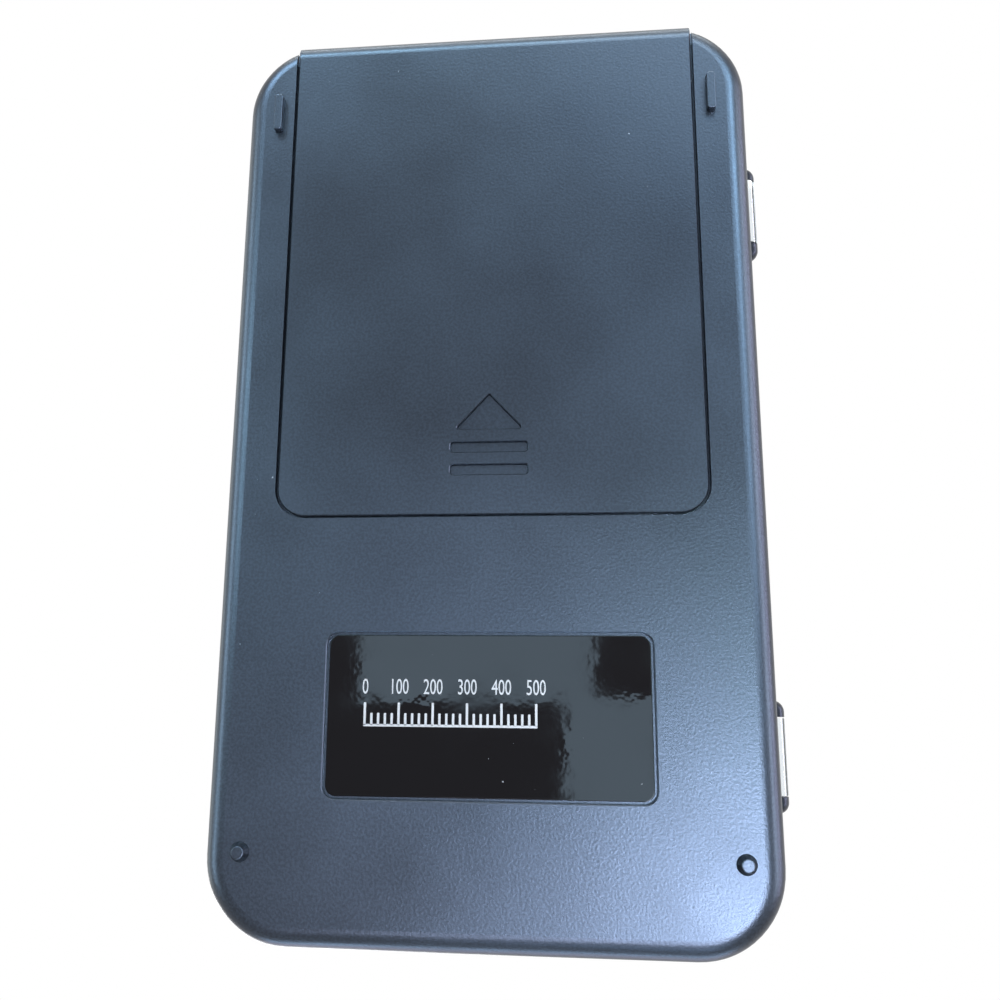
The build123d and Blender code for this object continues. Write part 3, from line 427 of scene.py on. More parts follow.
class Workshop:
    """All the finishes, each made once and given to the nodes and pieces that have it."""

    def __init__(self) -> None:
        """Lists the finishes by name."""
        self.made: dict[str, bpy.types.Material] = {}
        self.finishes: dict[str, Finish] = {f.name: f for f in self.listed()}

    @staticmethod
    def listed() -> list[Finish]:
        """The finishes of this object.

        Returns:
            Every finish, ready to build.
        """
        return [
            # Black ABS from a spark-eroded mould: nearly black in itself, with a blue-grey sheen broken up by
            # a grain of about 0.1 mm. The grain is drawn three times as coarse, so that it shows.
            Moulded("abs_casing", "#20262e", "#040507", 0.32, 0.018, 0.33, 0.4, "#dae5ff", 16.0, 0.85, 3.2),
            # The door comes from the same mould steel and plastic, a little smoother from thumbs.
            Moulded("abs_door", "#1e242c", "#040507", 0.32, 0.016, 0.32, 0.4, "#dae5ff", 20.0, 0.85, 3.8),
            # Polyester label film: a wet black gloss, drawn uneven by the glue under it.
            Moulded("label_film", "#0b0a12", "#07060c", 1.8, 0.009, 0.05, 0.15, "#ffffff", 8.0, dust=2.6),
            # White screen print on the label: chalky and flat.
            Moulded("label_print", "#d8dbe2", "#c9ccd4", 0.25, 0.003, 0.5, 0.4, cloud=4.0),
            # Smooth black ABS keys: a brighter gloss than the casing.
            Moulded("abs_keys", "#20242b", "#1b1f26", 0.5, 0.002, 0.28, 0.45, cloud=10.0),
            # Pale pad-printed legends.
            Moulded("key_print", "#cfd3d8", "#c2c6cc", 0.2, 0.002, 0.55, 0.4, cloud=3.0),
            # Black ABS of the inner mouldings: duller, with ejector marks.
            Moulded("abs_inner", "#1c2026", "#16191e", 0.4, 0.006, 0.55, 0.4, cloud=6.0),
            # General-purpose polystyrene: clear, hard and bright, with a cold tint.
            ClearPlastic("clear_lid", "#eef4f8", 1.49, 0.015, 9.0),
            # Cast acrylic lens: clearer and smoother than the lid.
            ClearPlastic("display_lens", "#f4f8f8", 1.49, 0.006, 14.0),
            # Stainless steel brushed along the platform's length: fine straight lines, soft reflections.
            Metal("brushed_stainless", "#c3c5c6", 0.27, Lay.ALONG, 0.22, 0.0012),
            # Zinc-plated screws and pins: bright, faintly blue.
            Metal("zinc_plate", "#83878c", 0.3, Lay.NONE, 0.6, 0.004),
            # Nickel-plated spring steel contacts.
            Metal("nickel_plate", "#9a9894", 0.2, Lay.ACROSS, 0.3, 0.002),
            # Milled aluminium of the load cell: pale, with cutter marks across it.
            Metal("milled_aluminium", "#cfd2d4", 0.32, Lay.ACROSS, 0.5, 0.004),
            # Reflective twisted-nematic display: grey-green film over glass.
            Moulded("display_film", "#93a18c", "#8b9985", 0.15, 0.0006, 0.24, 0.45, cloud=12.0),
            # Dark liquid-crystal segments.
            Moulded("display_segments", "#1d2420", "#181e1b", 0.2, 0.0005, 0.3, 0.4, cloud=6.0),
            # Black printed border under the lens.
            Moulded("lens_border", "#0c0e10", "#08090b", 0.3, 0.0008, 0.35, 0.4, cloud=8.0),
            # Display glass seen at its edge: dark green-grey.
            Moulded("display_glass", "#59665c", "#4c5850", 1.5, 0.0005, 0.06, 0.5, cloud=10.0),
            # Acrylic light guide.
            Moulded("light_guide", "#dfe8ee", "#d4dfe8", 0.8, 0.001, 0.2, 0.5, cloud=5.0),
            # Silicone strip connector: pale pink with dark conducting stripes.
            Striped("zebra_rubber", "#caa0a4", "#2a2422", 0.8),
            # Glass-epoxy board: green and glossy, with paler tracks.
            CircuitBoard("solder_mask"),
            # Black epoxy drop over the chip: a wet gloss.
            Moulded("epoxy_drop", "#101113", "#0b0c0e", 2.0, 0.01, 0.18, 0.5, cloud=4.0),
            # Fired ceramic chip parts with a sandy surface.
            Moulded("chip_ceramic", "#8a7355", "#6f5b42", 0.15, 0.004, 0.5, 0.4, cloud=1.2),
            # Black nylon of the switches.
            Moulded("switch_nylon", "#191b1e", "#131517", 0.3, 0.004, 0.5, 0.4, cloud=3.0),
            # Red and black hook-up wire: soft, slightly waxy PVC.
            Banded("lead_pvc", ((-20.0, "#15161a"), (1.5, "#a3161a"), (20.0, "#a3161a")), "X", 0.0, 0.4),
            # Four fine sensor wires, one colour each.
            Banded("sensor_pvc", SENSOR_WIRES, "X", 0.0, 0.4),
            # Polyimide film of the strain gauges: clear amber over foil.
            Moulded("gauge_film", "#b06a1c", "#8f5213", 0.35, 0.003, 0.25, 0.5, cloud=1.0),
            # White foam tape.
            Moulded("foam_tape", "#e3e2dc", "#d6d5cf", 0.3, 0.02, 0.8, 0.3, cloud=4.0),
            # Printed jackets of the cells: plain bands, with a bare steel cap at the nub's end.
            Banded("cell_jacket_left", LEFT_JACKET, "Y", 0.75, 0.3),
            Banded("cell_jacket_right", RIGHT_JACKET, "Y", 0.75, 0.3),
        ]

    def take(self, name: str) -> bpy.types.Material:
        """Gives a finish's material, and builds it the first time.

        Args:
            name: The finish's name.

        Returns:
            The material.
        """
        if name not in self.made:
            self.made[name] = self.finishes[name].build()
        return self.made[name]

    def dress(self, piece: Piece, name: str) -> None:
        """Puts a finish on a piece or a node.

        Args:
            piece: The object.
            name: The finish's name.
        """
        if not piece.material_slots:
            piece.data.materials.append(self.take(name))
        for slot in piece.material_slots:
            slot.material = self.take(name)


# ---- modelling by hand
def deselect() -> None:
    """Leaves edit mode and clears the selection, so that the next operator acts on its own piece alone."""
    if bpy.context.object and bpy.context.object.mode != "OBJECT":
        bpy.ops.object.mode_set(mode="OBJECT")
    bpy.ops.object.select_all(action="DESELECT")


def settle(piece: Piece, name: str) -> Piece:
    """Names a piece and moves its place into its mesh.

    Args:
        piece: The object.
        name: Its name.

    Returns:
        The same object, now at the origin.
    """
    deselect()
    piece.select_set(True)
    bpy.context.view_layer.objects.active = piece
    bpy.ops.object.transform_apply(location=True, rotation=True, scale=True)
    piece.name = name
    piece.data.name = name
    return piece


def join(parts: list[Piece], name: str) -> Piece:
    """Joins several objects into one piece.

    Args:
        parts: The objects, each with its own mesh.
        name: The piece's name.

    Returns:
        The joined piece, at the origin.
    """
    for part in parts:
        settle(part, name)
    deselect()
    for part in parts:
        part.select_set(True)
    bpy.context.view_layer.objects.active = parts[0]
    bpy.ops.object.join()
    return settle(bpy.context.object, name)


def pick(piece: Piece, kind: str, wanted: Callable[..., bool]) -> None:
    """Enters edit mode with only some edges or faces selected.

    Args:
        piece: The object, already active.
        kind: "EDGE" or "FACE".
        wanted: Tells whether one of them is wanted.
    """
    bpy.ops.object.mode_set(mode="EDIT")
    bpy.ops.mesh.select_mode(type=kind)
    bpy.ops.mesh.select_all(action="DESELECT")
    bpy.ops.object.mode_set(mode="OBJECT")
    for part in piece.data.edges if kind == "EDGE" else piece.data.polygons:
        part.select = wanted(part)
    bpy.ops.object.mode_set(mode="EDIT")


def block(length: float, width: float, height: float) -> Piece:
    """A block centred on the origin and standing on Z = 0.

    Args:
        length: Along X, in millimetres.
        width: Along Y.
        height: Along Z.

    Returns:
        The block, which is the active object.
    """
    deselect()
    bpy.ops.mesh.primitive_cube_add(size=1.0, location=(0, 0, height * MM / 2))
    piece = bpy.context.object
    piece.scale = (length * MM, width * MM, height * MM)
    bpy.ops.object.transform_apply(location=True, rotation=True, scale=True)
    return piece


def bar(length: float, width: float, height: float, rounding: float) -> Piece:
    """A flat bar with rounded corners, centred on the origin and standing on Z = 0.

    Args:
        length: Along X, in millimetres.
        width: Along Y.
        height: Along Z.
        rounding: Radius of its upright corners.

    Returns:
        The bar.
    """
    piece = block(length, width, height)

    def upright(edge: bpy.types.MeshEdge) -> bool:
        """Tells whether an edge stands."""
        a, b = (piece.data.vertices[i].co for i in edge.vertices)
        return abs(a.z - b.z) > height * MM / 2

    pick(piece, "EDGE", upright)
    bpy.ops.mesh.bevel(offset=rounding * MM, offset_type="OFFSET", segments=CORNER_STEPS, affect="EDGES")
    bpy.ops.object.mode_set(mode="OBJECT")
    return piece


def lettering(text: str, size: float, depth: float) -> Piece:
    """Text as a thin solid, centred on the origin, read from +Z.

    Args:
        text: The characters.
        size: Their height setting, in millimetres.
        depth: Thickness, in millimetres.

    Returns:
        The text as a mesh.
    """
    deselect()
    bpy.ops.object.text_add(location=(0, 0, 0))
    piece = bpy.context.object
    piece.data.body = text
    piece.data.size = size * MM
    piece.data.align_x = "CENTER"
    piece.data.align_y = "CENTER"
    piece.data.extrude = depth * MM / 2
    piece.data.resolution_u = LETTER_STEPS
    bpy.ops.object.convert(target="MESH")
    piece = bpy.context.object
    bpy.ops.object.mode_set(mode="EDIT")
    bpy.ops.mesh.select_all(action="SELECT")
    bpy.ops.mesh.remove_doubles(threshold=MERGE)
    bpy.ops.mesh.normals_make_consistent(inside=False)
    bpy.ops.object.mode_set(mode="OBJECT")
    return piece


def copy_of(piece: Piece) -> Piece:
    """Copies a piece with a mesh of its own, free of what the frame notes on a node.

    Args:
        piece: The object to copy.

    Returns:
        The copy, linked to the scene.
    """
    twin = piece.copy()
    twin.data = piece.data.copy()
    for key in list(twin.keys()):
        del twin[key]
    twin.parent = None
    twin.matrix_world = piece.matrix_world.copy()
    bpy.context.scene.collection.objects.link(twin)
    return twin


def place(piece: Piece, x: float, y: float, z: float, turn: Matrix | None = None) -> Piece:
    """Moves a piece to a place, after an optional turn about the origin.

    Args:
        piece: The object.
        x: Millimetres.
        y: Millimetres.
        z: Millimetres.
        turn: A rotation, or none.

    Returns:
        The same object.
    """
    piece.matrix_world = Matrix.Translation((x * MM, y * MM, z * MM)) @ (turn or Matrix.Identity(4))
    return piece


# ---- the scale
@dataclass
class Assembly:
    """What every sub-assembly shares: its solids' finishes, by node, and the pieces that it adds."""

    finishes: ClassVar[dict[str, str]] = {}

    def build(self, frame: dict, workshop: Workshop) -> None:
        """Dresses the solids and adds the pieces.

        Args:
            frame: The loaded frame.
            workshop: The finishes.
        """
        for node, finish in self.finishes.items():
            workshop.dress(frame["nodes"][node], finish)
        added = self.add_pieces(frame, workshop)
        LOG.info("%s: %d solids dressed, added %s", type(self).__name__, len(self.finishes), added or "none")

    def add_pieces(self, frame: dict, workshop: Workshop) -> list[str]:
        """Adds what the solids leave out, which here is nothing.

        Args:
            frame: The loaded frame; not used.
            workshop: The finishes; not used.

        Returns:
            The names of the pieces.
        """
        return []


@dataclass
class Casing(Assembly):
    """The two casings, the door, the label, the lid, the hinge pins and the case screws."""

    finishes: ClassVar[dict[str, str]] = {
    "bottom_shell": "abs_casing",
    "top_shell": "abs_casing",
    "battery_door": "abs_door",
    "rating_label": "label_film",
    "lid": "clear_lid",
    "hinge_pins": "zinc_plate",
    "case_screws": "zinc_plate",
    }


@dataclass
class LabelPrint(Assembly):
    """A graduated bar with plain numbers, screen-printed on the label."""

    left: float = -14.4  # as read from below, from the middle of the label
    span: float = 20.0
    baseline: float = -1.2
    divisions: int = 25
    numbered_every: int = 5
    step: int = 100
    line_width: float = 0.28
    long_tick: float = 2.6
    short_tick: float = 1.4
    figure_size: float = 2.5
    figure_gap: float = 1.0
    figure_narrowing: float = 0.62
    thickness: float = 0.02
    corner: float = 0.08

    def add_pieces(self, frame: dict, workshop: Workshop) -> list[str]:
        """Prints the bar on the label's face.

        Args:
            frame: The loaded frame; not used.
            workshop: The finishes.

        Returns:
            The print's name.
        """
        low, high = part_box("rating_label")
        middle = (low + high) / 2 / MM
        parts: list[Piece] = []
        rail = bar(self.span + self.line_width, self.line_width, self.thickness, self.corner)
        parts.append(place(rail, self.left + self.span / 2, self.baseline, 0))
        for mark in range(self.divisions + 1):
            numbered = mark % self.numbered_every == 0
            tall = self.long_tick if numbered else self.short_tick
            tick = bar(self.line_width, tall, self.thickness, self.corner)
            x = self.left + self.span * mark / self.divisions
            parts.append(place(tick, x, self.baseline + tall / 2, 0))
            if numbered:
                number = mark // self.numbered_every * self.step
                figure = lettering(str(number), self.figure_size, self.thickness)
                figure.data.transform(Matrix.Diagonal((self.figure_narrowing, 1.0, 1.0, 1.0)))
                y = self.baseline + self.long_tick + (self.figure_gap + self.figure_size) / 2
                parts.append(place(figure, x, y, self.thickness / 2))
        piece = join(parts, "label_print")
        face_down = Matrix.Rotation(math.pi, 4, "Y")
        settle(place(piece, middle.x, middle.y, low.z / MM, face_down), "label_print")
        workshop.dress(piece, "label_print")
        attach(piece, "case")
        return [piece.name]


class Segment(Enum):
    """The seven strokes of a figure: (x in halves of its width, y in quarters of its height, upright)."""

    TOP = (0, 2, False)
    MIDDLE = (0, 0, False)
    BOTTOM = (0, -2, False)
    UPPER_LEFT = (-1, 1, True)
    UPPER_RIGHT = (1, 1, True)
    LOWER_LEFT = (-1, -1, True)
    LOWER_RIGHT = (1, -1, True)


@dataclass
class Display(Assembly):
    """The display: film, segments and lens border, over the solids of the glass, guide, frame and board."""

    film_margin: float = 0.4
    film_thickness: float = 0.12
    film_corner: float = 0.5
    border_width: float = 1.7
    border_thickness: float = 0.03
    border_gap: float = 0.02  # under the lens, so that the two faces don't coincide
    ledge: float = 1.8
    window_gap: float = 0.08
    figure_width: float = 5.4
    figure_height: float = 10.4
    stroke: float = 1.15
    stroke_gap: float = 0.18
    stroke_point: float = 0.06  # width at a stroke's tip, as a share of the stroke's
    figures: int = 3
    pitch: float = 8.6
    first_figure: float = -0.75  # place, in pitches from the middle
    point_place: float = -0.25
    unit_place: float = 1.95
    unit_size: float = 4.2
    unit_rise: float = 2.0  # of its middle, over the feet of the figures
    segment_thickness: float = 0.02
    nought: tuple[Segment, ...] = tuple(s for s in Segment if s is not Segment.MIDDLE)
    finishes: ClassVar[dict[str, str]] = {
    "display_window": "display_lens",
    "lcd_glass": "display_glass",
    "lcd_frame": "abs_inner",
    "backlight": "light_guide",
    "zebra_strip": "zebra_rubber",
    "main_board": "solder_mask",
    "board_screws": "zinc_plate",
    "controller_blob": "epoxy_drop",
    "board_components": "chip_ceramic",
    }

    def add_pieces(self, frame: dict, workshop: Workshop) -> list[str]:
        """Makes the film, the segments and the border.

        Args:
            frame: The loaded frame; not used.
            workshop: The finishes.

        Returns:
            The names of the three.
        """
        low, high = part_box("display_window")
        middle = (low + high) / 2 / MM
        inset = self.ledge - self.window_gap + self.film_margin
        width = (high.x - low.x) / MM - 2 * inset
        height = (high.y - low.y) / MM - 2 * inset
        glass_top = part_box("lcd_glass")[1].z / MM
        film = bar(width, height, self.film_thickness, self.film_corner)
        settle(place(film, middle.x, middle.y, glass_top), "display_film")
        segments = place(self.segments(), middle.x, middle.y, glass_top + self.film_thickness)
        settle(segments, "display_segments")
        plate = (width + self.film_margin, height + self.film_margin)
        border = bar(*plate, self.border_thickness, self.film_corner)
        self.open_middle(border, *plate)
        place(border, middle.x, middle.y, low.z / MM - self.border_gap - self.border_thickness)
        settle(border, "lens_border")
        for piece in (film, segments, border):
            workshop.dress(piece, piece.name)
            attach(piece, "case")
        return [piece.name for piece in (film, segments, border)]

    def open_middle(self, border: Piece, width: float, height: float) -> None:
        """Cuts the viewing area out of the border.

        Args:
            border: A flat plate, which becomes a frame.
            width: The plate's width, in millimetres.
            height: The plate's height.
        """
        opening = (width - 2 * self.border_width, height - 2 * self.border_width)
        # The cutter stands out by the plate's thickness on each side of it.
        cutter = bar(*opening, 3 * self.border_thickness, self.film_corner)
        place(cutter, 0, 0, -self.border_thickness)
        deselect()
        border.select_set(True)
        bpy.context.view_layer.objects.active = border
        cut = border.modifiers.new("viewing_area", "BOOLEAN")
        cut.operation = "DIFFERENCE"
        cut.solver = "EXACT"
        cut.object = cutter
        bpy.ops.object.modifier_apply(modifier=cut.name)
        bpy.data.objects.remove(cutter)

    def stroke_bar(self, length: float) -> Piece:
        """One stroke of a figure, pointed at both ends.

        Args:
            length: From point to point, in millimetres.

        Returns:
            The stroke, along X.
        """
        piece = block(length - self.stroke, self.stroke, self.segment_thickness)
        for way in (1.0, -1.0):
            pick(piece, "FACE", lambda face, way=way: face.normal.x * way > FLAT)
            reach = way * self.stroke * MM / 2
            bpy.ops.mesh.extrude_region_move(TRANSFORM_OT_translate={"value": (reach, 0, 0)})
            bpy.ops.transform.resize(value=(1.0, self.stroke_point, 1.0), center_override=(0, 0, 0))
            bpy.ops.object.mode_set(mode="OBJECT")
        return piece

    def figure(self) -> list[Piece]:
        """The strokes of one nought, centred on the origin.

        Returns:
            Its six strokes, each a mesh of its own.
        """
        half_x = (self.figure_width - self.stroke) / 2
        quarter_y = (self.figure_height - self.stroke) / 4
        flat = self.stroke_bar(2 * half_x - self.stroke_gap)
        upright = self.stroke_bar(2 * quarter_y - self.stroke_gap)
        made: list[Piece] = []
        for x, y, stands in (s.value for s in self.nought):
            twin = copy_of(upright if stands else flat)
            turn = Matrix.Rotation(math.pi / 2, 4, "Z") if stands else None
            made.append(place(twin, x * half_x, y * quarter_y, 0, turn))
        for source in (flat, upright):
            bpy.data.objects.remove(source)
        return made

    def segments(self) -> Piece:
        """The reading 0.00 with its unit, as one piece centred on the origin.

        Returns:
            The joined segments.
        """
        parts: list[Piece] = []
        for number in range(self.figures):
            figure = join(self.figure(), f"figure_{number}")
            parts.append(place(figure, (number + self.first_figure) * self.pitch, 0, 0))
        foot = -self.figure_height / 2
        point = bar(self.stroke, self.stroke, self.segment_thickness, self.stroke / 4)
        parts.append(place(point, self.point_place * self.pitch, foot + self.stroke / 2, 0))
        unit = lettering("g", self.unit_size, self.segment_thickness)
        rise = foot + self.unit_rise
        parts.append(place(unit, self.unit_place * self.pitch, rise, self.segment_thickness / 2))
        return join(parts, "display_segments")


@dataclass
class Keys(Assembly):
    """The four keys and their switches, with the keys' printed legends."""

    finishes: ClassVar[dict[str, str]] = {
    "switch_bodies": "switch_nylon",
    **{f"key_{key}": "abs_keys" for key in ("power", "mode", "tare", "count")},
    **{f"plunger_{key}": "switch_nylon" for key in ("power", "mode", "tare", "count")},
    }
    legends: ClassVar[dict[str, str]] = {"power": "ON/OFF", "mode": "MODE", "tare": "TARE", "count": "PCS"}
    letter_size: float = 2.1
    thickness: float = 0.02

    def add_pieces(self, frame: dict, workshop: Workshop) -> list[str]:
        """Prints each key's legend.

        Args:
            frame: The loaded frame; not used.
            workshop: The finishes.

        Returns:
            The legends' names.
        """
        for key, legend in self.legends.items():
            low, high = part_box(f"key_{key}")
            middle = (low + high) / 2 / MM
            mark = lettering(legend, self.letter_size, self.thickness)
            place(mark, middle.x, middle.y, high.z / MM + self.thickness / 2)
            settle(mark, f"legend_{key}")
            workshop.dress(mark, "key_print")
            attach(mark, f"key_{key}")
        return [f"legend_{key}" for key in self.legends]


@dataclass
class WeighingGear(Assembly):
    """The platform, its support and tape, and the load cell with its gauges, screws and wires."""

    finishes: ClassVar[dict[str, str]] = {
    "weighing_platform": "brushed_stainless",
    "platform_tape": "foam_tape",
    "platform_support": "abs_inner",
    "load_cell_base_screws": "zinc_plate",
    "load_cell_top_screws": "zinc_plate",
    "load_cell_wires": "sensor_pvc",
    }
    bending: tuple[tuple[str, str, str, str], ...] = (  # node, and the piece's name, finish and slot
        ("load_cell", "bending_beam", "milled_aluminium", "beam_aluminium"),
        ("strain_gauges", "bending_gauges", "gauge_film", "gauge_foil"),
    )
    bend_start: float = 16.0  # past the fixed bolts
    bend_end: float = 32.0  # where the support's boss begins
    bend_steps: int = 16
    smooth_below: float = math.radians(30)

    def add_pieces(self, frame: dict, workshop: Workshop) -> list[str]:
        """Copies the beam and its gauges in place of their solids, and divides the length that bends.

        Args:
            frame: The loaded frame.
            workshop: The finishes.

        Returns:
            The names of the two.
        """
        for node, name, finish, slot in self.bending:
            piece = settle(copy_of(frame["nodes"][node]), name)
            self.divide(piece)
            workshop.dress(piece, finish)
            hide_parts(node)
            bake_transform(piece)
        return [name for _, name, _, _ in self.bending]

    def divide(self, piece: Piece) -> None:
        """Merges a copied solid and divides the length that bends, so that it curves rather than folds.

        Args:
            piece: The beam or the gauges, already active; not used, as the operators act on the active
                object.
        """
        bpy.ops.object.mode_set(mode="EDIT")
        bpy.ops.mesh.select_all(action="SELECT")
        bpy.ops.mesh.remove_doubles(threshold=MERGE)
        for step in range(self.bend_steps + 1):
            y = self.bend_start + (self.bend_end - self.bend_start) * step / self.bend_steps
            bpy.ops.mesh.select_all(action="SELECT")
            bpy.ops.mesh.bisect(plane_co=(0, y * MM, 0), plane_no=(0, 1, 0))
        bpy.ops.object.mode_set(mode="OBJECT")
        bpy.ops.object.shade_smooth_by_angle(angle=self.smooth_below)


@dataclass
class Power(Assembly):
    """The two cells, their contacts and the leads."""

    finishes: ClassVar[dict[str, str]] = {
    "cell_left": "cell_jacket_left",
    "cell_right": "cell_jacket_right",
    "spring_contact_left": "nickel_plate",
    "spring_contact_right": "nickel_plate",
    "plate_contact_left": "nickel_plate",
    "plate_contact_right": "nickel_plate",
    "battery_leads": "lead_pvc",
    }


# ---- the studio
class Role(Enum):
    """What a lamp is for: (lights the surfaces, shows in their gloss)."""

    LIGHT = (True, True)
    FILL = (True, False)
    CARD = (False, True)


class Facing(Enum):
    """Where a lamp looks: at the scale, straight up, or level towards the middle."""

    SCALE = "scale"
    UP = "up"
    INWARD = "inward"


@dataclass(frozen=True)
class Lamp:
    """One soft lamp."""

    name: str
    at: tuple[float, float, float]  # metres
    size: tuple[float, float]  # metres
    power: float  # watts
    role: Role = Role.LIGHT
    tint: str = "#ffffff"
    facing: Facing = Facing.SCALE

    def build(self) -> None:
        """Hangs the lamp."""
        deselect()
        bpy.ops.object.light_add(type="AREA", location=self.at)
        lamp = bpy.context.object
        lamp.name = self.name
        lamp.data.shape = "RECTANGLE"
        lamp.data.size, lamp.data.size_y = self.size
        lamp.data.energy = self.power
        lamp.data.color = linear(self.tint)[:3]
        lamp.rotation_euler = self.turned()
        lamp.visible_camera = False
        lamp.visible_diffuse, lamp.visible_glossy = self.role.value
        lamp.visible_transmission = self.role is Role.LIGHT

    def turned(self) -> Euler:
        """Works out how the lamp is turned.

        Returns:
            Its turn, with one edge level.
        """
        if self.facing is Facing.UP:
            return Euler((math.pi, 0.0, 0.0))
        towards = -Vector(self.at)
        if self.facing is Facing.INWARD:
            across = abs(towards.x) > abs(towards.y)
            towards = Vector((towards.x, 0, 0)) if across else Vector((0, towards.y, 0))
        return towards.to_track_quat("-Z", "Y").to_euler()


def card(
    name: str,
    at: tuple[float, float, float],
    size: tuple[float, float],
    power: float,
    tint: str,
    facing: Facing = Facing.UP,
) -> Lamp:
    """A card, which shows in gloss alone.

    Args:
        name: Its name, after "card_".
        at: Its place, in metres.
        size: Its sides, in metres.
        power: In watts.
        tint: Its colour.
        facing: The way it looks.

    Returns:
        The card as a lamp.
    """
    return Lamp(f"card_{name}", at, size, power, Role.CARD, tint, facing)


BIG, CLOSE = (0.3, 0.3), (0.17, 0.17)
LONG, LONG_WIDE = (1.0, 0.3), (1.0, 0.4)
LOW = -0.53


@dataclass
class Studio:
    """A pale table, soft lamps above and below, a white surround and the camera."""

    # The low cards stand under the table's clear pane, and give the underside its sheen. Near is -Y, far is
    # +Y, and left and right are as seen from below.
    lamps: tuple[Lamp, ...] = (
        Lamp("key_above", (0.35, -0.45, 0.75), (0.5, 0.5), 4.0),
        Lamp("fill_above", (-0.5, 0.35, 0.6), (0.6, 0.6), 2.0, Role.FILL),
        Lamp("fill_below", (-0.2, -0.25, -0.55), (0.5, 0.5), 3.0, Role.FILL),
        card("low_mid_right", (-0.45, 0.2, LOW), BIG, 4.43, "#c4eaff"),
        card("low_far_right", (-0.45, 0.5, LOW), BIG, 9.58, "#bae6ff"),
        card("low_near_middle", (-0.15, -0.75, LOW), BIG, 2.09, "#b5dfff"),
        card("low_far_middle", (-0.15, 0.5, LOW), BIG, 1.80, "#b7e2ff"),
        card("low_farthest_middle", (-0.15, 0.8, LOW), BIG, 8.04, "#e1f6ff"),
        card("low_farthest_left", (0.15, 0.8, LOW), BIG, 9.65, "#bfedff"),
        card("low_mid_left", (0.45, 0.2, LOW), BIG, 4.35, "#c1efff"),
        card("low_farthest_outer_left", (0.45, 0.8, LOW), BIG, 13.75, "#b5dfff"),
        card("close_near_right", (-0.16, -0.18, LOW), CLOSE, 7.95, "#d8eaff"),
        card("close_mid_right", (-0.16, -0.02, LOW), CLOSE, 0.93, "#ceffff"),
        card("side_right", (-0.9, 0.1, -0.32), LONG, 11.5, "#e0f0ff", Facing.INWARD),
        card("level_right", (-0.9, 0.1, 0.0), LONG, 9.5, "#dfdfff", Facing.INWARD),
        card("side_left", (0.9, 0.1, -0.32), LONG, 10.5, "#c9edff", Facing.INWARD),
        card("high_left", (0.9, 0.1, 0.35), LONG_WIDE, 1.8, "#dbf6ff", Facing.INWARD),
        card("level_near", (0.0, -1.0, 0.0), LONG, 9.49, "#b5dfff", Facing.INWARD),
        card("high_near", (0.0, -1.0, 0.35), LONG_WIDE, 3.5, "#dfdfff", Facing.INWARD),
        card("level_far", (0.0, 1.0, 0.0), LONG, 8.0, "#ebf9ff", Facing.INWARD),
        card("near_edge", (-0.08, -0.31, LOW), (0.34, 0.12), 2.8, "#e4ecff"),
        card("label_top", (0.050, 0.008, LOW), (0.151, 0.064), 0.251, "#c8e7ff"),
        card("label_right", (-0.036, -0.061, LOW), (0.059, 0.082), 0.126, "#c8e7ff"),
    )
    surround: str = "#9ea2a8"
    pane: tuple[float, float] = (0.042, 0.066)  # half sizes, metres
    table_radius: float = 1.2
    table_sides: int = 96
    table_fade: tuple[float, float] = (0.45, 1.1)
    table_colour: str = "#f1f2f4"
    eye: tuple[float, float, float] = (-7.57, -31.779, -118.048)  # mm
    forward: tuple[float, float, float] = (0.10241, 0.21669, 0.97085)
    up: tuple[float, float, float] = (-0.01141, 0.97618, -0.21668)
    lens: float = 36.401
    sensor: float = 36.0
    shift: tuple[float, float] = (0.0401, -0.0100)
    sight: tuple[float, float] = (0.01, 20.0)  # metres, from nearest to farthest

    def build(self) -> None:
        """Sets up the world, the lamps, the table and the camera."""
        bpy.context.scene.view_settings.view_transform = "Standard"
        self.surroundings()
        for lamp in self.lamps:
            lamp.build()
        self.table()
        self.camera()
        LOG.info("studio: %d lamps", len(self.lamps))

    def surroundings(self) -> None:
        """A world that looks white, in gloss too, and lights the scale more gently than it looks."""
        world = bpy.data.worlds.new("surroundings")
        bpy.context.scene.world = world
        world.use_nodes = True
        tree = world.node_tree
        tree.nodes.clear()
        rays = add_node(tree, "LightPath").outputs
        eye = (rays["Is Camera Ray"], rays["Is Transmission Ray"])
        seen = add_node(tree, "Math", {"operation": "MAXIMUM"}, dict(enumerate(eye)))
        seen = add_node(tree, "Math", {"operation": "MAXIMUM"}, {0: seen, 1: rays["Is Glossy Ray"]})
        direct = add_node(tree, "Math", {"operation": "LESS_THAN", 1: HALF}, {0: rays["Diffuse Depth"]})
        seen = add_node(tree, "Math", {"operation": "MULTIPLY"}, {0: seen, 1: direct})
        white = add_node(tree, "Background", {"Color": linear("#ffffff"), "Strength": 1.0})
        soft = add_node(tree, "Background", {"Color": linear(self.surround), "Strength": 1.0})
        mix = add_node(tree, "MixShader", links={0: seen, 1: soft, 2: white})
        add_node(tree, "OutputWorld", links={"Surface": mix})

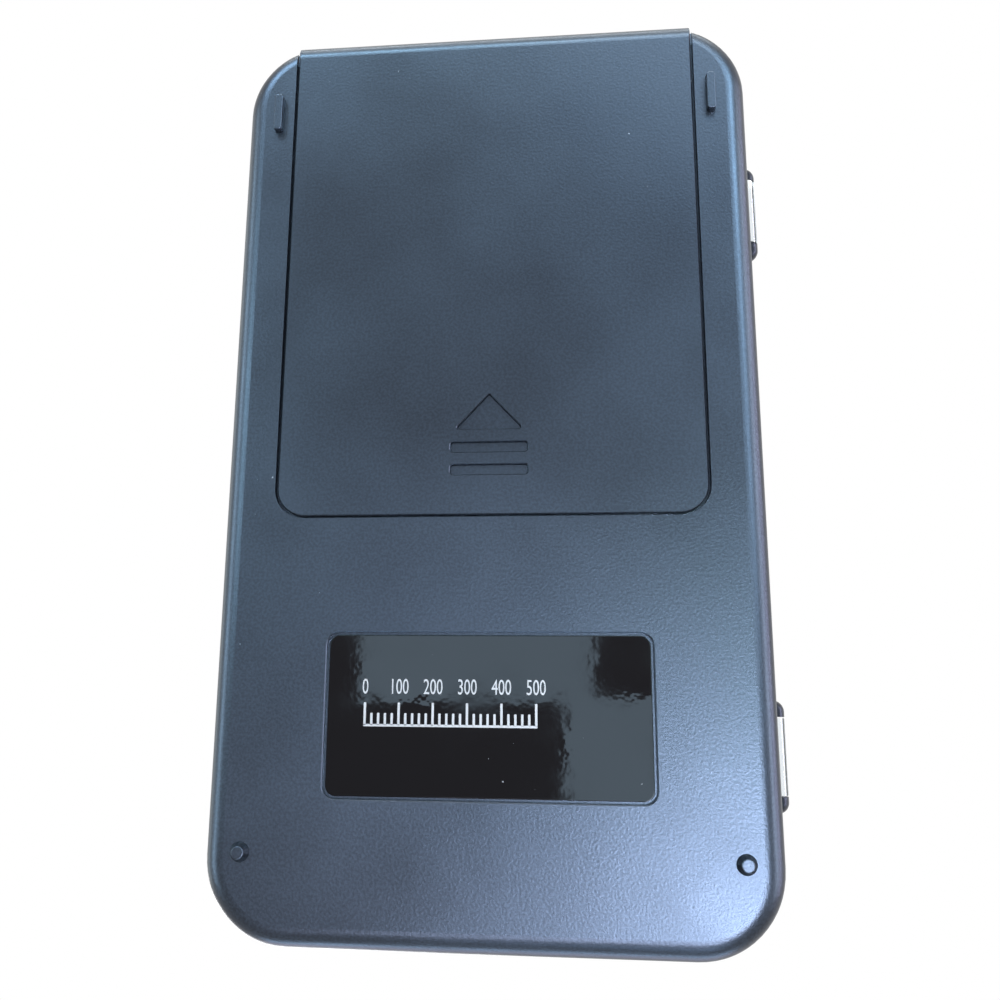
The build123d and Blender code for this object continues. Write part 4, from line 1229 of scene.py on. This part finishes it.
    def table(self) -> None:
        """The table top: pale from above, nothing from below, and lost in white far from the scale."""
        deselect()
        bpy.ops.mesh.primitive_circle_add(
            vertices=self.table_sides, radius=self.table_radius, fill_type="NGON", location=(0, 0, 0)
        )
        top = bpy.context.object
        top.name = "table"
        material = bpy.data.materials.new("table_top")
        material.use_nodes = True
        tree = material.node_tree
        tree.nodes.clear()
        rays = add_node(tree, "LightPath").outputs
        place_on = add_node(tree, "TexCoord").outputs["Object"]
        eye = (rays["Is Camera Ray"], rays["Is Transmission Ray"])
        seen = add_node(tree, "Math", {"operation": "MAXIMUM"}, dict(enumerate(eye)))
        lamp = (rays["Is Glossy Ray"], rays["Is Shadow Ray"])
        lit = add_node(tree, "Math", {"operation": "MAXIMUM"}, dict(enumerate(lamp)))
        beyond = self.past_pane(tree, place_on)
        mirrored = add_node(tree, "Math", {"operation": "MULTIPLY"}, {0: lit, 1: beyond})
        seen = add_node(tree, "Math", {"operation": "MAXIMUM"}, {0: seen, 1: mirrored})
        behind = add_node(tree, "NewGeometry").outputs["Backfacing"]
        front = add_node(tree, "Math", {"operation": "SUBTRACT", 0: 1.0}, {1: behind})
        shown = add_node(tree, "Math", {"operation": "MULTIPLY"}, {0: seen, 1: front})
        away = add_node(tree, "VectorMath", {"operation": "LENGTH"}, {0: place_on})
        smooth = {"interpolation_type": "SMOOTHSTEP", **dict(zip(RANGE, (*self.table_fade, 1.0, 0.0)))}
        fade = add_node(tree, "MapRange", smooth, {"Value": away.outputs["Value"]})
        share = add_node(tree, "Math", {"operation": "MULTIPLY"}, {0: shown, 1: fade})
        paper = add_node(tree, "BsdfDiffuse", {"Color": linear(self.table_colour)})
        clear = add_node(tree, "BsdfTransparent")
        mix = add_node(tree, "MixShader", links={0: share, 1: clear, 2: paper})
        add_node(tree, "OutputMaterial", links={"Surface": mix})
        top.data.materials.append(material)

    def past_pane(self, tree: Tree, place_on: Socket) -> Node:
        """Marks the table beyond its clear pane, through which the underside sees the cards below.

        Args:
            tree: The table top's tree.
            place_on: The place on the table, in metres.

        Returns:
            A node that gives 1 beyond the pane and 0 on it.
        """
        axes = add_node(tree, "SeparateXYZ", links={"Vector": place_on})
        found = []
        for axis, half in zip("XY", self.pane):
            size = add_node(tree, "Math", {"operation": "ABSOLUTE"}, {0: axes.outputs[axis]})
            found.append(add_node(tree, "Math", {"operation": "GREATER_THAN", 1: half}, {0: size}))
        return add_node(tree, "Math", {"operation": "MAXIMUM"}, dict(enumerate(found)))

    def camera(self) -> None:
        """The camera under the scale, looking up at its base."""
        deselect()
        bpy.ops.object.camera_add()
        camera = bpy.context.object
        camera.data.lens = self.lens
        camera.data.sensor_width = self.sensor
        camera.data.shift_x, camera.data.shift_y = self.shift
        camera.data.clip_start, camera.data.clip_end = self.sight
        back = -Vector(self.forward).normalized()
        right = Vector(self.up).cross(back).normalized()
        upward = back.cross(right)
        turn = Matrix((right, upward, back)).transposed().to_4x4()
        camera.matrix_world = Matrix.Translation(Vector(self.eye) * MM) @ turn
        bpy.context.scene.camera = camera


def main() -> None:
    """Builds the studio and dresses the scale."""
    logging.basicConfig(level=logging.INFO, format="%(name)s: %(message)s")
    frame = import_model()
    Studio().build()
    workshop = Workshop()
    for assembly in (Casing(), LabelPrint(), Display(), Keys(), WeighingGear(), Power()):
        assembly.build(frame, workshop)
    deselect()


if __name__ == "__main__":
    main()
